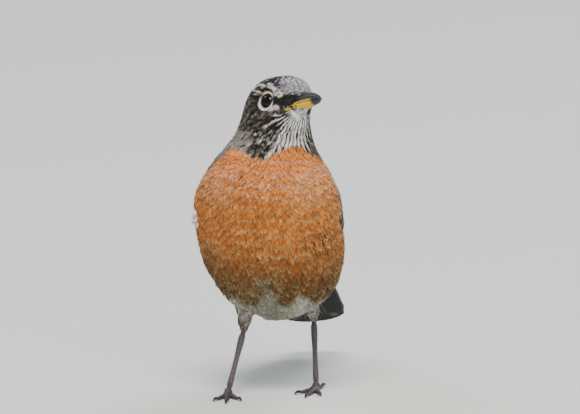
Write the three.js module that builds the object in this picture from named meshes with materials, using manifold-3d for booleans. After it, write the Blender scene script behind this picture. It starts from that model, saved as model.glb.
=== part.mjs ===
// An adult American robin, standing alert on level ground with its head turned to its left.
// Millimetres, +Z up. The bird faces -Y and its left side is +X. Every outline is that of the feathered bird.
import * as THREE from 'three';
import { mergeVertices } from 'three/addons/utils/BufferGeometryUtils.js';
import Module from 'manifold-3d';

const wasm = await Module();
wasm.setup();

const V = (x, y, z) => new THREE.Vector3(x, y, z);
const { degToRad, lerp, smoothstep, clamp } = THREE.MathUtils;

// ---- driving dimensions ------------------------------------------------------------------------

const gap = 0.3;              // between one piece and the next
const vane = 0.6;             // thickness of a flight feather

const head = {
  eyes: V(9.4, -29, 145.9),   // the point midway between the eyes
  turn: degToRad(50),         // to the bird's left
  pitch: degToRad(19),        // bill raised
  roll: degToRad(17),         // cocked: crown leaning to the left, right eye raised
};

const eye = { radius: 5, ahead: -1.2, out: 6.1 };

const bill = { root: 7, tip: 32.8 };

const tail = {
  root: V(0, 23, 72), length: 96, slope: degToRad(33), roll: degToRad(8),
  feathers: 12, rootWidth: 15, tipWidth: 31,
};

const leg = {
  left: { side: 1, hip: V(15.5, 3, 54), ankle: V(16.8, 11, 33), foot: V(19.8, 1, 2.6), toeIn: degToRad(4) },
  right: { side: -1, hip: V(-12.5, -7, 52), ankle: V(-14.5, -9, 30), foot: V(-19.2, -23.4, 2.6), toeIn: degToRad(9) },
};
const thigh = { top: 6.6, middle: 3.7, end: 2.1 };
const tarsus = { joint: 2, top: 1.6, middle: 1.2, end: 1.5 };

const toe = {
  base: 1.25, end: 0.95,
  // digit: [degrees outward from straight ahead, length, length of the claw]
  digits: { hallux: [178, 9.5, 7], inner: [-26, 11.5, 5], middle: [1, 17, 6], outer: [23, 12.5, 5] },
};

// ---- the form of the feathered body as one smooth field (negative inside) ----------------------

const level = V(Math.cos(head.turn), Math.sin(head.turn), 0);
const forward = V(
  Math.sin(head.turn) * Math.cos(head.pitch),
  -Math.cos(head.turn) * Math.cos(head.pitch),
  Math.sin(head.pitch));
const leftward = level.clone().applyAxisAngle(forward, -head.roll);
const upward = V(0, 0, 0).crossVectors(forward, leftward);
const headTurn = new THREE.Matrix4().makeBasis(forward, leftward, upward);
const headFrame = headTurn.clone().setPosition(head.eyes);
const inHead = (f, l, u) => V(f, l, u).applyMatrix4(headFrame);

function ellipsoid(centre, radii, turn = new THREE.Matrix4()) {
  const back = turn.clone().setPosition(centre).invert();
  return (p) => {
    const q = p.clone().applyMatrix4(back);
    const k0 = V(q.x / radii.x, q.y / radii.y, q.z / radii.z).length();
    const k1 = V(q.x / radii.x ** 2, q.y / radii.y ** 2, q.z / radii.z ** 2).length();
    return k1 > 0 ? (k0 * (k0 - 1)) / k1 : -Math.min(radii.x, radii.y, radii.z);
  };
}

// A ball of radius ra at a, swept to one of radius rb at b.
function cone(a, b, ra, rb) {
  const ab = b.clone().sub(a);
  return (p) => {
    const ap = p.clone().sub(a);
    const h = clamp(ap.dot(ab) / ab.lengthSq(), 0, 1);
    return ap.sub(ab.clone().multiplyScalar(h)).length() - lerp(ra, rb, h);
  };
}

// A smooth union whose fillet is k wide.
function blend(k, ...fields) {
  return (p) => {
    let d = Infinity;
    for (const field of fields) {
      const e = field(p);
      const h = Number.isFinite(d) ? Math.max(k - Math.abs(d - e), 0) / k : 0;
      d = Math.min(d, e) - (h * h * k) / 4;
    }
    return d;
  };
}

const lean = (degrees) => new THREE.Matrix4().makeRotationX(degToRad(degrees));
const torso = blend(14,
  ellipsoid(V(0, -19, 94), V(35.6, 27, 33.5), lean(18)),
  ellipsoid(V(0, -8.5, 70), V(35.8, 27, 33), lean(24)),
  cone(V(0, -8, 108), V(0, 14, 84), 18.5, 17),
  cone(V(0, 6, 72), V(0, 38, 65.5), 20, 7),
  cone(V(0, 6, 56), V(0, 46, 55), 15, 3.5),
  cone(V(1, -21, 114), V(4, -24.5, 131), 17.5, 16.8));

const skull = blend(6,
  ellipsoid(inHead(-4.8, 0, 1.8), V(16, 14.2, 13.1), headTurn),
  ellipsoid(inHead(5.8, 0, 1.4), V(12.2, 10.4, 9.2), headTurn),
  cone(inHead(-6, 5, -5), inHead(-6, -5, -5), 8.4, 8.4),
  cone(inHead(9, 0, -8.5), inHead(-7, 0, -12), 4.2, 12));

const bird = blend(8, torso, skull);

// Where a ray from inside first leaves the field.
function reach(field, from, dir, furthest = 90) {
  const at = (t) => field(from.clone().addScaledVector(dir, t));
  let near = 0;
  let far = 1;
  while (at(far) < 0 && far < furthest) [near, far] = [far, far + 1];
  for (let i = 0; i < 16; i++) {
    const mid = (near + far) / 2;
    if (at(mid) < 0) near = mid;
    else far = mid;
  }
  return far;
}

// ---- making closed meshes ----------------------------------------------------------------------

// Moves every vertex of a geometry by a function of its own coordinates.
function shaped(geometry, place) {
  geometry.deleteAttribute('normal');
  geometry.deleteAttribute('uv');
  const merged = mergeVertices(geometry, 1e-5);
  const at = merged.getAttribute('position');
  const p = V(0, 0, 0);
  for (let i = 0; i < at.count; i++) {
    p.fromBufferAttribute(at, i);
    const q = place(p.clone());
    at.setXYZ(i, q.x, q.y, q.z);
  }
  return merged;
}

function solid(geometry) {
  const made = new wasm.Manifold(new wasm.Mesh({
    numProp: 3,
    vertProperties: new Float32Array(geometry.getAttribute('position').array),
    triVerts: new Uint32Array(geometry.index.array),
  }));
  if (made.volume() >= 0) return made;
  const flipped = Uint32Array.from(geometry.index.array);
  for (let i = 0; i < flipped.length; i += 3) [flipped[i + 1], flipped[i + 2]] = [flipped[i + 2], flipped[i + 1]];
  return new wasm.Manifold(new wasm.Mesh({
    numProp: 3,
    vertProperties: new Float32Array(geometry.getAttribute('position').array),
    triVerts: flipped,
  }));
}

// The largest body alone, with no pockets left inside it.
const filled = (made) => made.decompose().reduce((a, b) => (b.volume() > a.volume() ? b : a));

function geometryOf(made) {
  const mesh = made.getMesh();
  return new THREE.BufferGeometry()
    .setAttribute('position', new THREE.BufferAttribute(new Float32Array(mesh.vertProperties), 3))
    .setIndex(new THREE.BufferAttribute(new Uint32Array(mesh.triVerts), 1))
    .toNonIndexed();
}

// A closed skin over the field: rings of rays square to a spine, from one end of it to the other.
function skinAlong(field, spine, rings, around, grow = 0) {
  const ball = new THREE.SphereGeometry(1, around, rings);
  const section = (t) => {
    const at = spine.getPoint(t);
    const along = spine.getTangent(t);
    const side = V(1, 0, 0);
    const out = V(0, 0, 0).crossVectors(side, along).normalize();
    return { at, along, side, out };
  };
  return shaped(ball, (p) => {
    const t = 1 - Math.acos(clamp(p.y, -1, 1)) / Math.PI;
    const { at, along, side, out } = section(t);
    if (t < 1e-6 || t > 1 - 1e-6) {
      const end = t < 0.5 ? along.clone().negate() : along;
      return at.clone().addScaledVector(end, reach(field, at, end) + grow);
    }
    const a = Math.atan2(p.z, p.x);
    const lean = Math.cos(Math.PI * t) * -1;
    const dir = side.clone().multiplyScalar(Math.cos(a)).addScaledVector(out, Math.sin(a));
    dir.addScaledVector(along, lean ** 5 * 2.2).normalize();
    return at.clone().addScaledVector(dir, reach(field, at, dir) + grow);
  });
}

// A closed skin over the field by rays from one point.
function skinAround(field, centre, rings, around, frame, grow = 0) {
  return shaped(new THREE.SphereGeometry(1, around, rings), (p) => {
    const dir = p.normalize().transformDirection(frame);
    return centre.clone().addScaledVector(dir, reach(field, centre, dir) + grow);
  });
}

// A round limb through some points, with a radius for each step along it.
function limb(points, radius, rings, around) {
  const spine = new THREE.CatmullRomCurve3(points, false, 'centripetal');
  const ball = new THREE.SphereGeometry(1, around, rings);
  return shaped(ball, (p) => {
    const t = 1 - Math.acos(clamp(p.y, -1, 1)) / Math.PI;
    const at = spine.getPoint(t);
    const along = spine.getTangent(t);
    const side = V(0, 0, 0).crossVectors(along, Math.abs(along.z) > 0.8 ? V(0, 1, 0) : V(0, 0, 1)).normalize();
    const out = V(0, 0, 0).crossVectors(side, along);
    const ring = Math.hypot(p.x, p.z) < 1e-6 ? 0 : radius(t);
    const a = Math.atan2(p.z, p.x);
    return at.addScaledVector(side, ring * Math.cos(a)).addScaledVector(out, ring * Math.sin(a));
  });
}

// The half of space beyond a plane, as a big box.
function beyond(point, normal) {
  const box = new THREE.BoxGeometry(400, 400, 200);
  const turn = new THREE.Quaternion().setFromUnitVectors(V(0, 0, 1), normal.clone().normalize());
  return solid(shaped(box, (p) => p.add(V(0, 0, 100)).applyQuaternion(turn).add(point)));
}

// ---- head, neck and trunk ----------------------------------------------------------------------

const trunkSpine = new THREE.CatmullRomCurve3([
  V(0, 37, 62), V(0, 18, 64), V(0, 1, 71), V(0, -12, 86), V(0, -18, 102), V(0, -21, 117), V(1.5, -23.5, 129),
], false, 'centripetal');

const neckTop = { at: V(2, -24, 130.5), normal: V(0.2, -0.24, 1).normalize() };
const neckFoot = { at: V(0, -19, 116), normal: V(0, -0.3, 1).normalize() };

const tallTorso = solid(skinAlong(bird, trunkSpine, 26, 28));
const skullCentre = inHead(-4, 0, -1.5);
const wholeHead = solid(skinAround(bird, skullCentre, 20, 24,
  new THREE.Matrix4().makeBasis(leftward, forward, upward)));

const above = (plane, by) => beyond(plane.at.clone().addScaledVector(plane.normal, by), plane.normal);
const neckWhole = tallTorso.subtract(above(neckTop, -gap / 2)).intersect(above(neckFoot, gap / 2));
const trunk = tallTorso.subtract(above(neckFoot, -gap / 2));

// ---- bill --------------------------------------------------------------------------------------

// Heights of the ridge, the cutting edge and the chin line, and the half width, by distance ahead of the eyes.
const ahead = (...steps) => (f) => {
  const next = Math.max(steps.findIndex(([at]) => at >= f), 1);
  const [[f0, v0], [f1, v1]] = [steps[next - 1], steps[next]];
  return lerp(v0, v1, clamp((f - f0) / (f1 - f0), 0, 1));
};
const ridge = ahead([7, 0], [12, 1.9], [16, 2.4], [20, 2], [24, 1.1], [28, -0.5], [31, -2.5], [32.8, -4.6]);
const edge = ahead([7, -5.4], [12, -4.1], [20, -3.3], [27, -3.6], [31, -4.3], [32.8, -4.9]);
const chin = ahead([7, -7.9], [12, -7], [18, -6.3], [25, -5.9], [29, -5.4], [31.6, -4.9]);
const breadth = ahead([7, 6], [10, 5.5], [14, 4.3], [20, 3.2], [26, 2], [30, 1.1], [32.8, 0.3]);

// One half of the bill between two height curves, arched on the side of the first.
function mandible(arch, flat, from, to, grow = 0) {
  return solid(shaped(new THREE.SphereGeometry(1, 12, 9), (p) => {
    const t = 1 - Math.acos(clamp(p.y, -1, 1)) / Math.PI;
    const f = lerp(from, to, t);
    const a = Math.atan2(p.z, p.x);
    const ring = Math.hypot(p.x, p.z) < 1e-6 ? 0 : 1;
    const w = (breadth(f) * Math.min(1, (to - f) / 1.5 + 0.25) + grow) * ring;
    const rise = Math.max(Math.sin(a), 0) ** 0.8 * ring;
    const top = arch(f) + Math.sign(arch(f) - flat(f)) * grow;
    const base = flat(f) - Math.sign(arch(f) - flat(f)) * grow;
    return inHead(f + grow * Math.sign(t - 0.5), w * Math.cos(a), lerp(base, top, rise));
  }));
}
const upperEdge = (f) => edge(f) + gap / 2;
const lowerEdge = (f) => edge(f) - gap / 2;
const billUpper = mandible(ridge, upperEdge, bill.root, bill.tip);
const billLower = mandible(chin, lowerEdge, bill.root, bill.tip - 1.2);
const billRoom = mandible(ridge, upperEdge, bill.root, bill.tip, gap)
  .add(mandible(chin, lowerEdge, bill.root, bill.tip - 1.2, gap));

// ---- eyes --------------------------------------------------------------------------------------

const eyeAt = (side) => inHead(eye.ahead, side * eye.out, 0);
const ball = (radius, centre, around = 14, rings = 9) => solid(
  shaped(new THREE.SphereGeometry(radius, around, rings), (p) => p.add(centre)));
const eyes = { left: ball(eye.radius, eyeAt(1)), right: ball(eye.radius, eyeAt(-1)) };
// The shallow dish round each eye, and the room for the ball.
const orbit = (side) => solid(shaped(new THREE.SphereGeometry(1, 12, 8), (p) => inHead(
  1 + 7.2 * p.x, side * (16.4 + 6 * p.y), 0.4 + 6.6 * p.z)));
const sockets = ball(eye.radius + gap, eyeAt(1)).add(ball(eye.radius + gap, eyeAt(-1)))
  .add(orbit(1)).add(orbit(-1));
const headSolid = wholeHead.intersect(above(neckTop, gap / 2)).subtract(billRoom).subtract(sockets);

// ---- legs and feet -----------------------------------------------------------------------------

const grownTorso = solid(skinAlong(bird, trunkSpine, 26, 28, gap));
const ground = beyond(V(0, 0, 0), V(0, 0, -1));
const steps = (...values) => (t) => {
  const at = t * (values.length - 1);
  const i = Math.min(Math.floor(at), values.length - 2);
  return lerp(values[i], values[i + 1], at - i);
};

function makeLeg({ side, hip, ankle, foot, toeIn }) {
  const shin = ankle.clone().sub(foot).normalize();
  const along = (distance) => ankle.clone().addScaledVector(shin, distance);
  const drumstick = solid(limb(
    [hip, hip.clone().lerp(ankle, 0.55).add(V(0, -1.5, 0)), along(-0.4)],
    steps(5, thigh.top, thigh.top, 5.2, thigh.middle, 2.8, thigh.end, 1.8), 10, 10));
  const shank = solid(limb(
    [along(-0.2), ankle.clone().lerp(foot, 0.5), foot.clone().addScaledVector(shin, -0.5)],
    steps(1.3, tarsus.top, tarsus.top, tarsus.middle, tarsus.middle, tarsus.middle, tarsus.end, 1.2), 8, 8));
  const joint = ball(tarsus.joint, ankle, 8, 6);
  const pieces = { thigh: drumstick.subtract(grownTorso).subtract(ball(tarsus.joint + gap + 0.1, ankle, 8, 6)) };
  const heading = Math.PI * 1.5 - side * toeIn;
  const way = (outward) => {
    const angle = heading + side * degToRad(outward);
    return V(Math.cos(angle), Math.sin(angle), 0);
  };
  const knuckle = ball(tarsus.end + 0.5, foot, 8, 6);
  const base = ball(tarsus.end + 0.6 + gap, foot, 8, 6).add(shank);
  // The front toes part along the lines halfway between them.
  const beside = (outward, next) => {
    const across = way((outward + next) / 2 + Math.sign(next - outward) * 90);
    return beyond(foot.clone().addScaledVector(across, -gap / 2), across);
  };
  const neighbours = { hallux: [], inner: ['middle'], middle: ['inner', 'outer'], outer: ['middle'] };
  for (const [digit, [outward, length, clawLength]] of Object.entries(toe.digits)) {
    const on = (distance, height) => foot.clone().setZ(0).addScaledVector(way(outward), distance).setZ(height);
    let whole = solid(limb(
      [on(0.6, 2.3), on(length * 0.35, toe.base - 0.05), on(length * 0.7, toe.end - 0.05), on(length, toe.end - 0.1)],
      steps(0.7, toe.base, toe.base, toe.end, toe.base * 0.95, toe.end, toe.end, 0.8), 7, 7));
    for (const other of neighbours[digit]) whole = whole.subtract(beside(outward, toe.digits[other][0]));
    const hook = solid(limb(
      [on(length + 0.1, toe.end), on(length + clawLength * 0.5, toe.end + 0.55), on(length + clawLength, 0.3)],
      steps(0.7, 0.85, 0.7, 0.5, 0.3), 6, 6));
    pieces[`claw_${digit}`] = hook.subtract(ground).subtract(beyond(on(length + 0.3, 0), way(outward + 180)));
    pieces[`toe_${digit}`] = filled(whole.subtract(ground).subtract(base));
  }
  pieces.tarsus = shank.add(knuckle).add(joint).subtract(ground);
  return pieces;
}
const legs = { left: makeLeg(leg.left), right: makeLeg(leg.right) };

// ---- flight feathers ---------------------------------------------------------------------------

// A layer of vanes side by side as one sheet: place(k, v, tip, up) with k 0..1 across the layer, v 0..1 along it,
// tip 0 in the notch between two vanes and 1 on the end of one, up 0 or 1.
function layer(vanes, lengthwise, place) {
  const sheet = new THREE.BoxGeometry(1, 1, 1, vanes * 2, lengthwise, 1);
  return solid(shaped(sheet, (p) => {
    const k = p.x + 0.5;
    const tip = Math.abs(Math.sin(Math.PI * vanes * k)) > 0.1 ? 1 : 0;
    return place(k, p.y + 0.5, tip, p.z + 0.5);
  }));
}

const tailWay = V(0, Math.cos(tail.slope), -Math.sin(tail.slope));
const tailSide = V(1, 0, 0).applyAxisAngle(tailWay, -tail.roll);
const tailUp = V(0, 0, 0).crossVectors(tailSide, tailWay);
const fan = layer(tail.feathers, 5, (k, v, tip, up) => {
  const x = lerp(tail.rootWidth, tail.tipWidth, v ** 0.8) * (k - 0.5);
  const reachOut = tail.length * (1 - 0.09 * (2 * k - 1) ** 2) - (1 - tip) * 2;
  return tail.root.clone()
    .addScaledVector(tailWay, v * reachOut)
    .addScaledVector(tailSide, x)
    .addScaledVector(tailUp, -((x / 16) ** 2) * 1.2 - v * v * 1.5 + up * vane);
});
const tailSolid = filled(fan.subtract(grownTorso));

// The folded wing lies on a bed: the trunk, drawn out backwards over the tail.
const bedStart = V(0, -14, 98);
const bedEnd = V(0, 68, 39);
const bed = blend(12, torso, cone(V(0, -2, 88), bedEnd, 22, 12));
const bedWay = bedEnd.clone().sub(bedStart).normalize();
const bedUp = bedWay.clone().cross(V(-1, 0, 0)).normalize();
const onBed = (side, along, degrees, height) => {
  const from = bedStart.clone().lerp(bedEnd, along);
  const dir = V(side * Math.cos(degToRad(degrees)), 0, 0).addScaledVector(bedUp, Math.sin(degToRad(degrees)));
  return from.addScaledVector(dir, reach(bed, from, dir) + height);
};

// Each group from its lowest feather to its highest: [along, degrees] of the roots and of the tips.
const groups = {
  primaries: {
    vanes: 6, lengthwise: 7, lift: 0.7, notch: 0.02,
    roots: [[0.22, -2], [0.24, 30]], tips: [[1.08, 42], [0.8, 84]],
  },
  secondaries: {
    vanes: 6, lengthwise: 6, lift: 1.55, notch: 0.02,
    roots: [[0.18, 8], [0.2, 62]], tips: [[0.76, 31], [0.66, 90]],
  },
  coverts: {
    vanes: 6, lengthwise: 5, lift: 2.4, notch: 0.02,
    roots: [[0.05, 6], [0.02, 50]], tips: [[0.42, 2], [0.48, 80]],
  },
};
const makeGroup = (side, { vanes, lengthwise, lift, notch, roots, tips }) => layer(vanes, lengthwise, (k, v, tip, up) => {
  const along = lerp(lerp(roots[0][0], roots[1][0], k), lerp(tips[0][0], tips[1][0], k) - (1 - tip) * notch, v);
  const degrees = lerp(lerp(roots[0][1], roots[1][1], k), lerp(tips[0][1], tips[1][1], k), v);
  const rounded = 0.03 * (2 * k - 1) ** 4 * (v - 0.5);
  return onBed(side, along - rounded, degrees, lift + up * vane);
});

// ---- export ------------------------------------------------------------------------------------

const robin = new THREE.Group();
const finish = {
  plumage: new THREE.MeshStandardMaterial({ color: 0x55504c, roughness: 0.9 }),
  breast: new THREE.MeshStandardMaterial({ color: 0xb5622c, roughness: 0.9 }),
  horn: new THREE.MeshStandardMaterial({ color: 0xc9a23a, roughness: 0.4 }),
  dark: new THREE.MeshStandardMaterial({ color: 0x1a1512, roughness: 0.2 }),
};
function add(name, made, material) {
  const mesh = new THREE.Mesh(geometryOf(made), material);
  mesh.name = name;
  robin.add(mesh);
}
add('head', headSolid, finish.plumage);
add('neck', neckWhole, finish.plumage);
add('trunk', trunk, finish.breast);
add('bill_upper', billUpper, finish.horn);
add('bill_lower', billLower, finish.horn);
add('eye_left', eyes.left, finish.dark);
add('eye_right', eyes.right, finish.dark);
add('tail', tailSolid, finish.plumage);
for (const side of ['left', 'right']) {
  for (const [name, group] of Object.entries(groups)) {
    add(`${name}_${side}`, makeGroup(leg[side].side, group), finish.plumage);
  }
  for (const [name, made] of Object.entries(legs[side])) {
    const [piece, digit] = name.split('_');
    add(digit ? `${piece}_${side}_${digit}` : `${piece}_${side}`, made, piece === 'thigh' ? finish.plumage : finish.dark);
  }
}

// The origin: on the ground, under the middle of the whole.
const box = new THREE.Box3().setFromObject(robin);
robin.position.set(-(box.min.x + box.max.x) / 2, -(box.min.y + box.max.y) / 2, -box.min.z);

export default robin;
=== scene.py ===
import math

import bmesh
import bpy
import numpy as np
from mathutils import Matrix, Vector, kdtree
from mathutils.bvhtree import BVHTree


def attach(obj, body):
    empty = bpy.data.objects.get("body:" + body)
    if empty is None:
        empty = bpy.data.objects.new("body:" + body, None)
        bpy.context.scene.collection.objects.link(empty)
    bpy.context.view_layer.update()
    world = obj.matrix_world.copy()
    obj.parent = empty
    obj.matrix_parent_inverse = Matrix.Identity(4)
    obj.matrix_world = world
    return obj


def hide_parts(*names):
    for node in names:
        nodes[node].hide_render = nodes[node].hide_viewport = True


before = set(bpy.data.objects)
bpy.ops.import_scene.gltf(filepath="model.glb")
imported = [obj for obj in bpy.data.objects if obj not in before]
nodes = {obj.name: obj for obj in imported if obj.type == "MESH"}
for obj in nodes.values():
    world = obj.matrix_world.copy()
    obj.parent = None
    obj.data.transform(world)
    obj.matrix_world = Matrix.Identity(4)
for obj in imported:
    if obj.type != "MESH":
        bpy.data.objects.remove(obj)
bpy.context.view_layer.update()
scene = bpy.context.scene
mm = 0.001
rng = np.random.default_rng(1847)
print("frame loaded:", len(nodes), "nodes")


# small helpers, all on arrays of points in millimetres

def paint(red, green, blue):
    # a screen colour as the linear colour that shaders and attributes take
    c = np.array([red, green, blue], float) / 255
    return np.where(c <= 0.04045, c / 12.92, ((c + 0.055) / 1.055) ** 2.4)


def ease(low, high, x):
    t = np.clip((x - low) / (high - low), 0, 1)
    return t * t * (3 - 2 * t)


def bump(x, centre, width):
    return np.exp(-((x - centre) / width) ** 2)


def mix(a, b, share):
    share = np.asarray(share)[..., None]
    return a * (1 - share) + b * share


def unit(v):
    return v / np.maximum(np.linalg.norm(v, axis=-1, keepdims=True), 1e-9)


def dot(a, b):
    return (a * b).sum(-1)


cloudTable = rng.random((24, 24, 24))


def cloud(p, size, shift=0.0):
    # soft lumps from 0 to 1, about size millimetres across
    q = p / size + shift
    cell = np.floor(q).astype(int)
    t = q - cell
    t = t * t * (3 - 2 * t)
    total = 0
    for corner in np.ndindex(2, 2, 2):
        i = (cell + corner) % 24
        share = np.prod(np.where(corner, t, 1 - t), axis=-1)
        total = total + share * cloudTable[i[..., 0], i[..., 1], i[..., 2]]
    return total


# the head's own directions: ahead along the bill, left, and over the crown

headPose = {"middle": (9.4, -54.84, 145.9), "turn": 50, "pitch": 19, "roll": 17}
headMiddle = np.array(headPose["middle"])
turn, pitch, roll = (math.radians(headPose[k]) for k in ("turn", "pitch", "roll"))
ahead = np.array([math.sin(turn) * math.cos(pitch), -math.cos(turn) * math.cos(pitch), math.sin(pitch)])
level = np.array([math.cos(turn), math.sin(turn), 0])
left = level * math.cos(roll) - np.cross(ahead, level) * math.sin(roll)
over = np.cross(ahead, left)


def inHead(f, l, u):
    return headMiddle + ahead * f + left * l + over * u


def toHead(p):
    q = p - headMiddle
    return q @ ahead, q @ left, q @ over


# meshes

def addPiece(name, mesh, *materials):
    piece = bpy.data.objects.new(name, mesh)
    scene.collection.objects.link(piece)
    for material in materials:
        mesh.materials.append(material)
    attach(piece, "root")
    return piece


def pointsOf(mesh):
    co = np.zeros(len(mesh.vertices) * 3)
    mesh.vertices.foreach_get("co", co)
    return co.reshape(-1, 3) / mm


def setPoints(mesh, co):
    mesh.vertices.foreach_set("co", (co * mm).astype(np.float32).ravel())
    mesh.update()


def normalsOf(mesh):
    n = np.zeros(len(mesh.vertices) * 3)
    mesh.vertices.foreach_get("normal", n)
    return n.reshape(-1, 3)


def trianglesOf(mesh):
    mesh.calc_loop_triangles()
    t = np.zeros(len(mesh.loop_triangles) * 3, np.int32)
    mesh.loop_triangles.foreach_get("vertices", t)
    return t.reshape(-1, 3)


def meshFrom(bm, name):
    mesh = bpy.data.meshes.new(name)
    bm.to_mesh(mesh)
    bm.free()
    return mesh


def smoothShade(mesh):
    mesh.polygons.foreach_set("use_smooth", np.ones(len(mesh.polygons), bool))


def setColour(mesh, name, colour):
    layer = mesh.color_attributes.new(name, "FLOAT_COLOR", "POINT")
    rgba = np.ones((len(mesh.vertices), 4), np.float32)
    rgba[:, :3] = colour
    layer.data.foreach_set("color", rgba.ravel())


def setVector(mesh, name, values):
    layer = mesh.attributes.new(name, "FLOAT_VECTOR", "POINT")
    layer.data.foreach_set("vector", np.asarray(values, np.float32).ravel())


def setValue(mesh, name, values):
    layer = mesh.attributes.new(name, "FLOAT", "POINT")
    layer.data.foreach_set("value", np.asarray(values, np.float32).ravel())


def meltedCopy(name, parts, look):
    # CAD nodes copied, merged, swollen until they touch, fused at one voxel size and smoothed
    bm = bmesh.new()
    for part in parts:
        one = bmesh.new()
        one.from_mesh(nodes[part].data)
        bmesh.ops.remove_doubles(one, verts=one.verts, dist=1e-6)
        bmesh.ops.recalc_face_normals(one, faces=one.faces)
        one.normal_update()
        for v in one.verts:
            v.co += v.normal * look["swell"] * mm
        mesh = meshFrom(one, name)
        bm.from_mesh(mesh)
        bpy.data.meshes.remove(mesh)
    piece = bpy.data.objects.new(name, meshFrom(bm, name))
    scene.collection.objects.link(piece)
    remesh = piece.modifiers.new("fuse", "REMESH")
    remesh.mode = "VOXEL"
    remesh.voxel_size = look["voxel"] * mm
    relax = piece.modifiers.new("relax", "SMOOTH")
    relax.factor = 0.5
    relax.iterations = look["rounds"]
    bpy.context.view_layer.update()
    finished = piece.evaluated_get(bpy.context.evaluated_depsgraph_get())
    fused = bpy.data.meshes.new_from_object(finished)
    bpy.data.objects.remove(piece)
    fused.name = name
    return fused


# node groups shared by the materials

def newGroup(name, inputs, outputs):
    group = bpy.data.node_groups.new(name, "ShaderNodeTree")
    for label, kind, value in inputs:
        socket = group.interface.new_socket(name=label, in_out="INPUT", socket_type=kind)
        if value is not None:
            socket.default_value = value
    for label, kind in outputs:
        group.interface.new_socket(name=label, in_out="OUTPUT", socket_type=kind)
    return group, group.nodes.new("NodeGroupInput"), group.nodes.new("NodeGroupOutput")


def wire(tree, *links):
    for start, end in links:
        tree.links.new(start, end)


def mathNode(tree, operation, a, b=None, c=None, clamp=False):
    node = tree.nodes.new("ShaderNodeMath")
    node.operation = operation
    node.use_clamp = clamp
    for i, value in enumerate((a, b, c)):
        if value is None:
            continue
        if isinstance(value, (int, float)):
            node.inputs[i].default_value = value
        else:
            tree.links.new(value, node.inputs[i])
    return node.outputs[0]


def makeBarbGroup():
    # fine slanting barbs either side of a shaft, from the vane's own across and along
    group, given, made = newGroup(
        "barbs",
        [("Vane", "NodeSocketVector", None), ("Count", "NodeSocketFloat", 26.0),
         ("Slant", "NodeSocketFloat", 0.7), ("Depth", "NodeSocketFloat", 0.2), ("Shaft", "NodeSocketFloat", 0.06)],
        [("Shade", "NodeSocketFloat"), ("Height", "NodeSocketFloat")])
    parts = group.nodes.new("ShaderNodeSeparateXYZ")
    wire(group, (given.outputs["Vane"], parts.inputs[0]))
    side = mathNode(group, "ABSOLUTE", parts.outputs["X"])
    slant = mathNode(group, "MULTIPLY", side, given.outputs["Slant"])
    line = mathNode(group, "SUBTRACT", parts.outputs["Y"], slant)
    noise = group.nodes.new("ShaderNodeTexNoise")
    noise.inputs["Scale"].default_value = 3.0
    noise.inputs["Detail"].default_value = 3.0
    wire(group, (given.outputs["Vane"], noise.inputs["Vector"]))
    sway = mathNode(group, "MULTIPLY", noise.outputs["Fac"], 0.09)
    line = mathNode(group, "ADD", line, sway)
    turns = mathNode(group, "MULTIPLY", line, given.outputs["Count"])
    wave = mathNode(group, "SINE", mathNode(group, "MULTIPLY", turns, 2 * math.pi))
    raised = mathNode(group, "MULTIPLY_ADD", wave, 0.5, 0.5)
    quill = mathNode(group, "DIVIDE", side, given.outputs["Shaft"])
    quill = mathNode(group, "SUBTRACT", 1.0, quill, clamp=True)
    loss = mathNode(group, "MULTIPLY", mathNode(group, "SUBTRACT", 1.0, raised), given.outputs["Depth"])
    shade = mathNode(group, "SUBTRACT", 1.0, loss)
    height = mathNode(group, "MAXIMUM", mathNode(group, "MULTIPLY", raised, 0.5), quill)
    wire(group, (shade, made.inputs["Shade"]), (height, made.inputs["Height"]))
    return group


def makeMottleGroup():
    # uneven tone and relief over a surface
    group, given, made = newGroup(
        "mottle",
        [("Vector", "NodeSocketVector", None), ("Scale", "NodeSocketFloat", 400.0),
         ("Low", "NodeSocketFloat", 0.8), ("High", "NodeSocketFloat", 1.15)],
        [("Tone", "NodeSocketFloat"), ("Height", "NodeSocketFloat")])
    noise = group.nodes.new("ShaderNodeTexNoise")
    noise.inputs["Detail"].default_value = 5.0
    noise.inputs["Roughness"].default_value = 0.6
    spread = group.nodes.new("ShaderNodeMapRange")
    spread.inputs["From Min"].default_value = 0.3
    spread.inputs["From Max"].default_value = 0.7
    wire(group, (given.outputs["Vector"], noise.inputs["Vector"]), (given.outputs["Scale"], noise.inputs["Scale"]),
         (noise.outputs["Fac"], spread.inputs["Value"]), (given.outputs["Low"], spread.inputs["To Min"]),
         (given.outputs["High"], spread.inputs["To Max"]), (spread.outputs["Result"], made.inputs["Tone"]),
         (noise.outputs["Fac"], made.inputs["Height"]))
    return group


barbGroup = makeBarbGroup()
mottleGroup = makeMottleGroup()


def newMaterial(name, **settings):
    material = bpy.data.materials.new(name)
    material.use_nodes = True
    shader = material.node_tree.nodes["Principled BSDF"]
    for socket, value in settings.items():
        shader.inputs[socket.replace("_", " ")].default_value = value
    return material, material.node_tree, shader


def placeGroup(tree, group, **values):
    node = tree.nodes.new("ShaderNodeGroup")
    node.node_tree = group
    for label, value in values.items():
        node.inputs[label].default_value = value
    return node


def attributeNode(tree, name):
    node = tree.nodes.new("ShaderNodeAttribute")
    node.attribute_name = name
    return node


def tinted(tree, colour, tone):
    # colour times a grey tone
    node = tree.nodes.new("ShaderNodeVectorMath")
    node.operation = "SCALE"
    wire(tree, (colour, node.inputs[0]), (tone, node.inputs["Scale"]))
    return node.outputs[0]


def placeMottle(tree, scale, low, high):
    place = tree.nodes.new("ShaderNodeTexCoord")
    mottle = placeGroup(tree, mottleGroup, Scale=scale, Low=low, High=high)
    wire(tree, (place.outputs["Object"], mottle.inputs["Vector"]))
    return mottle


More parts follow.
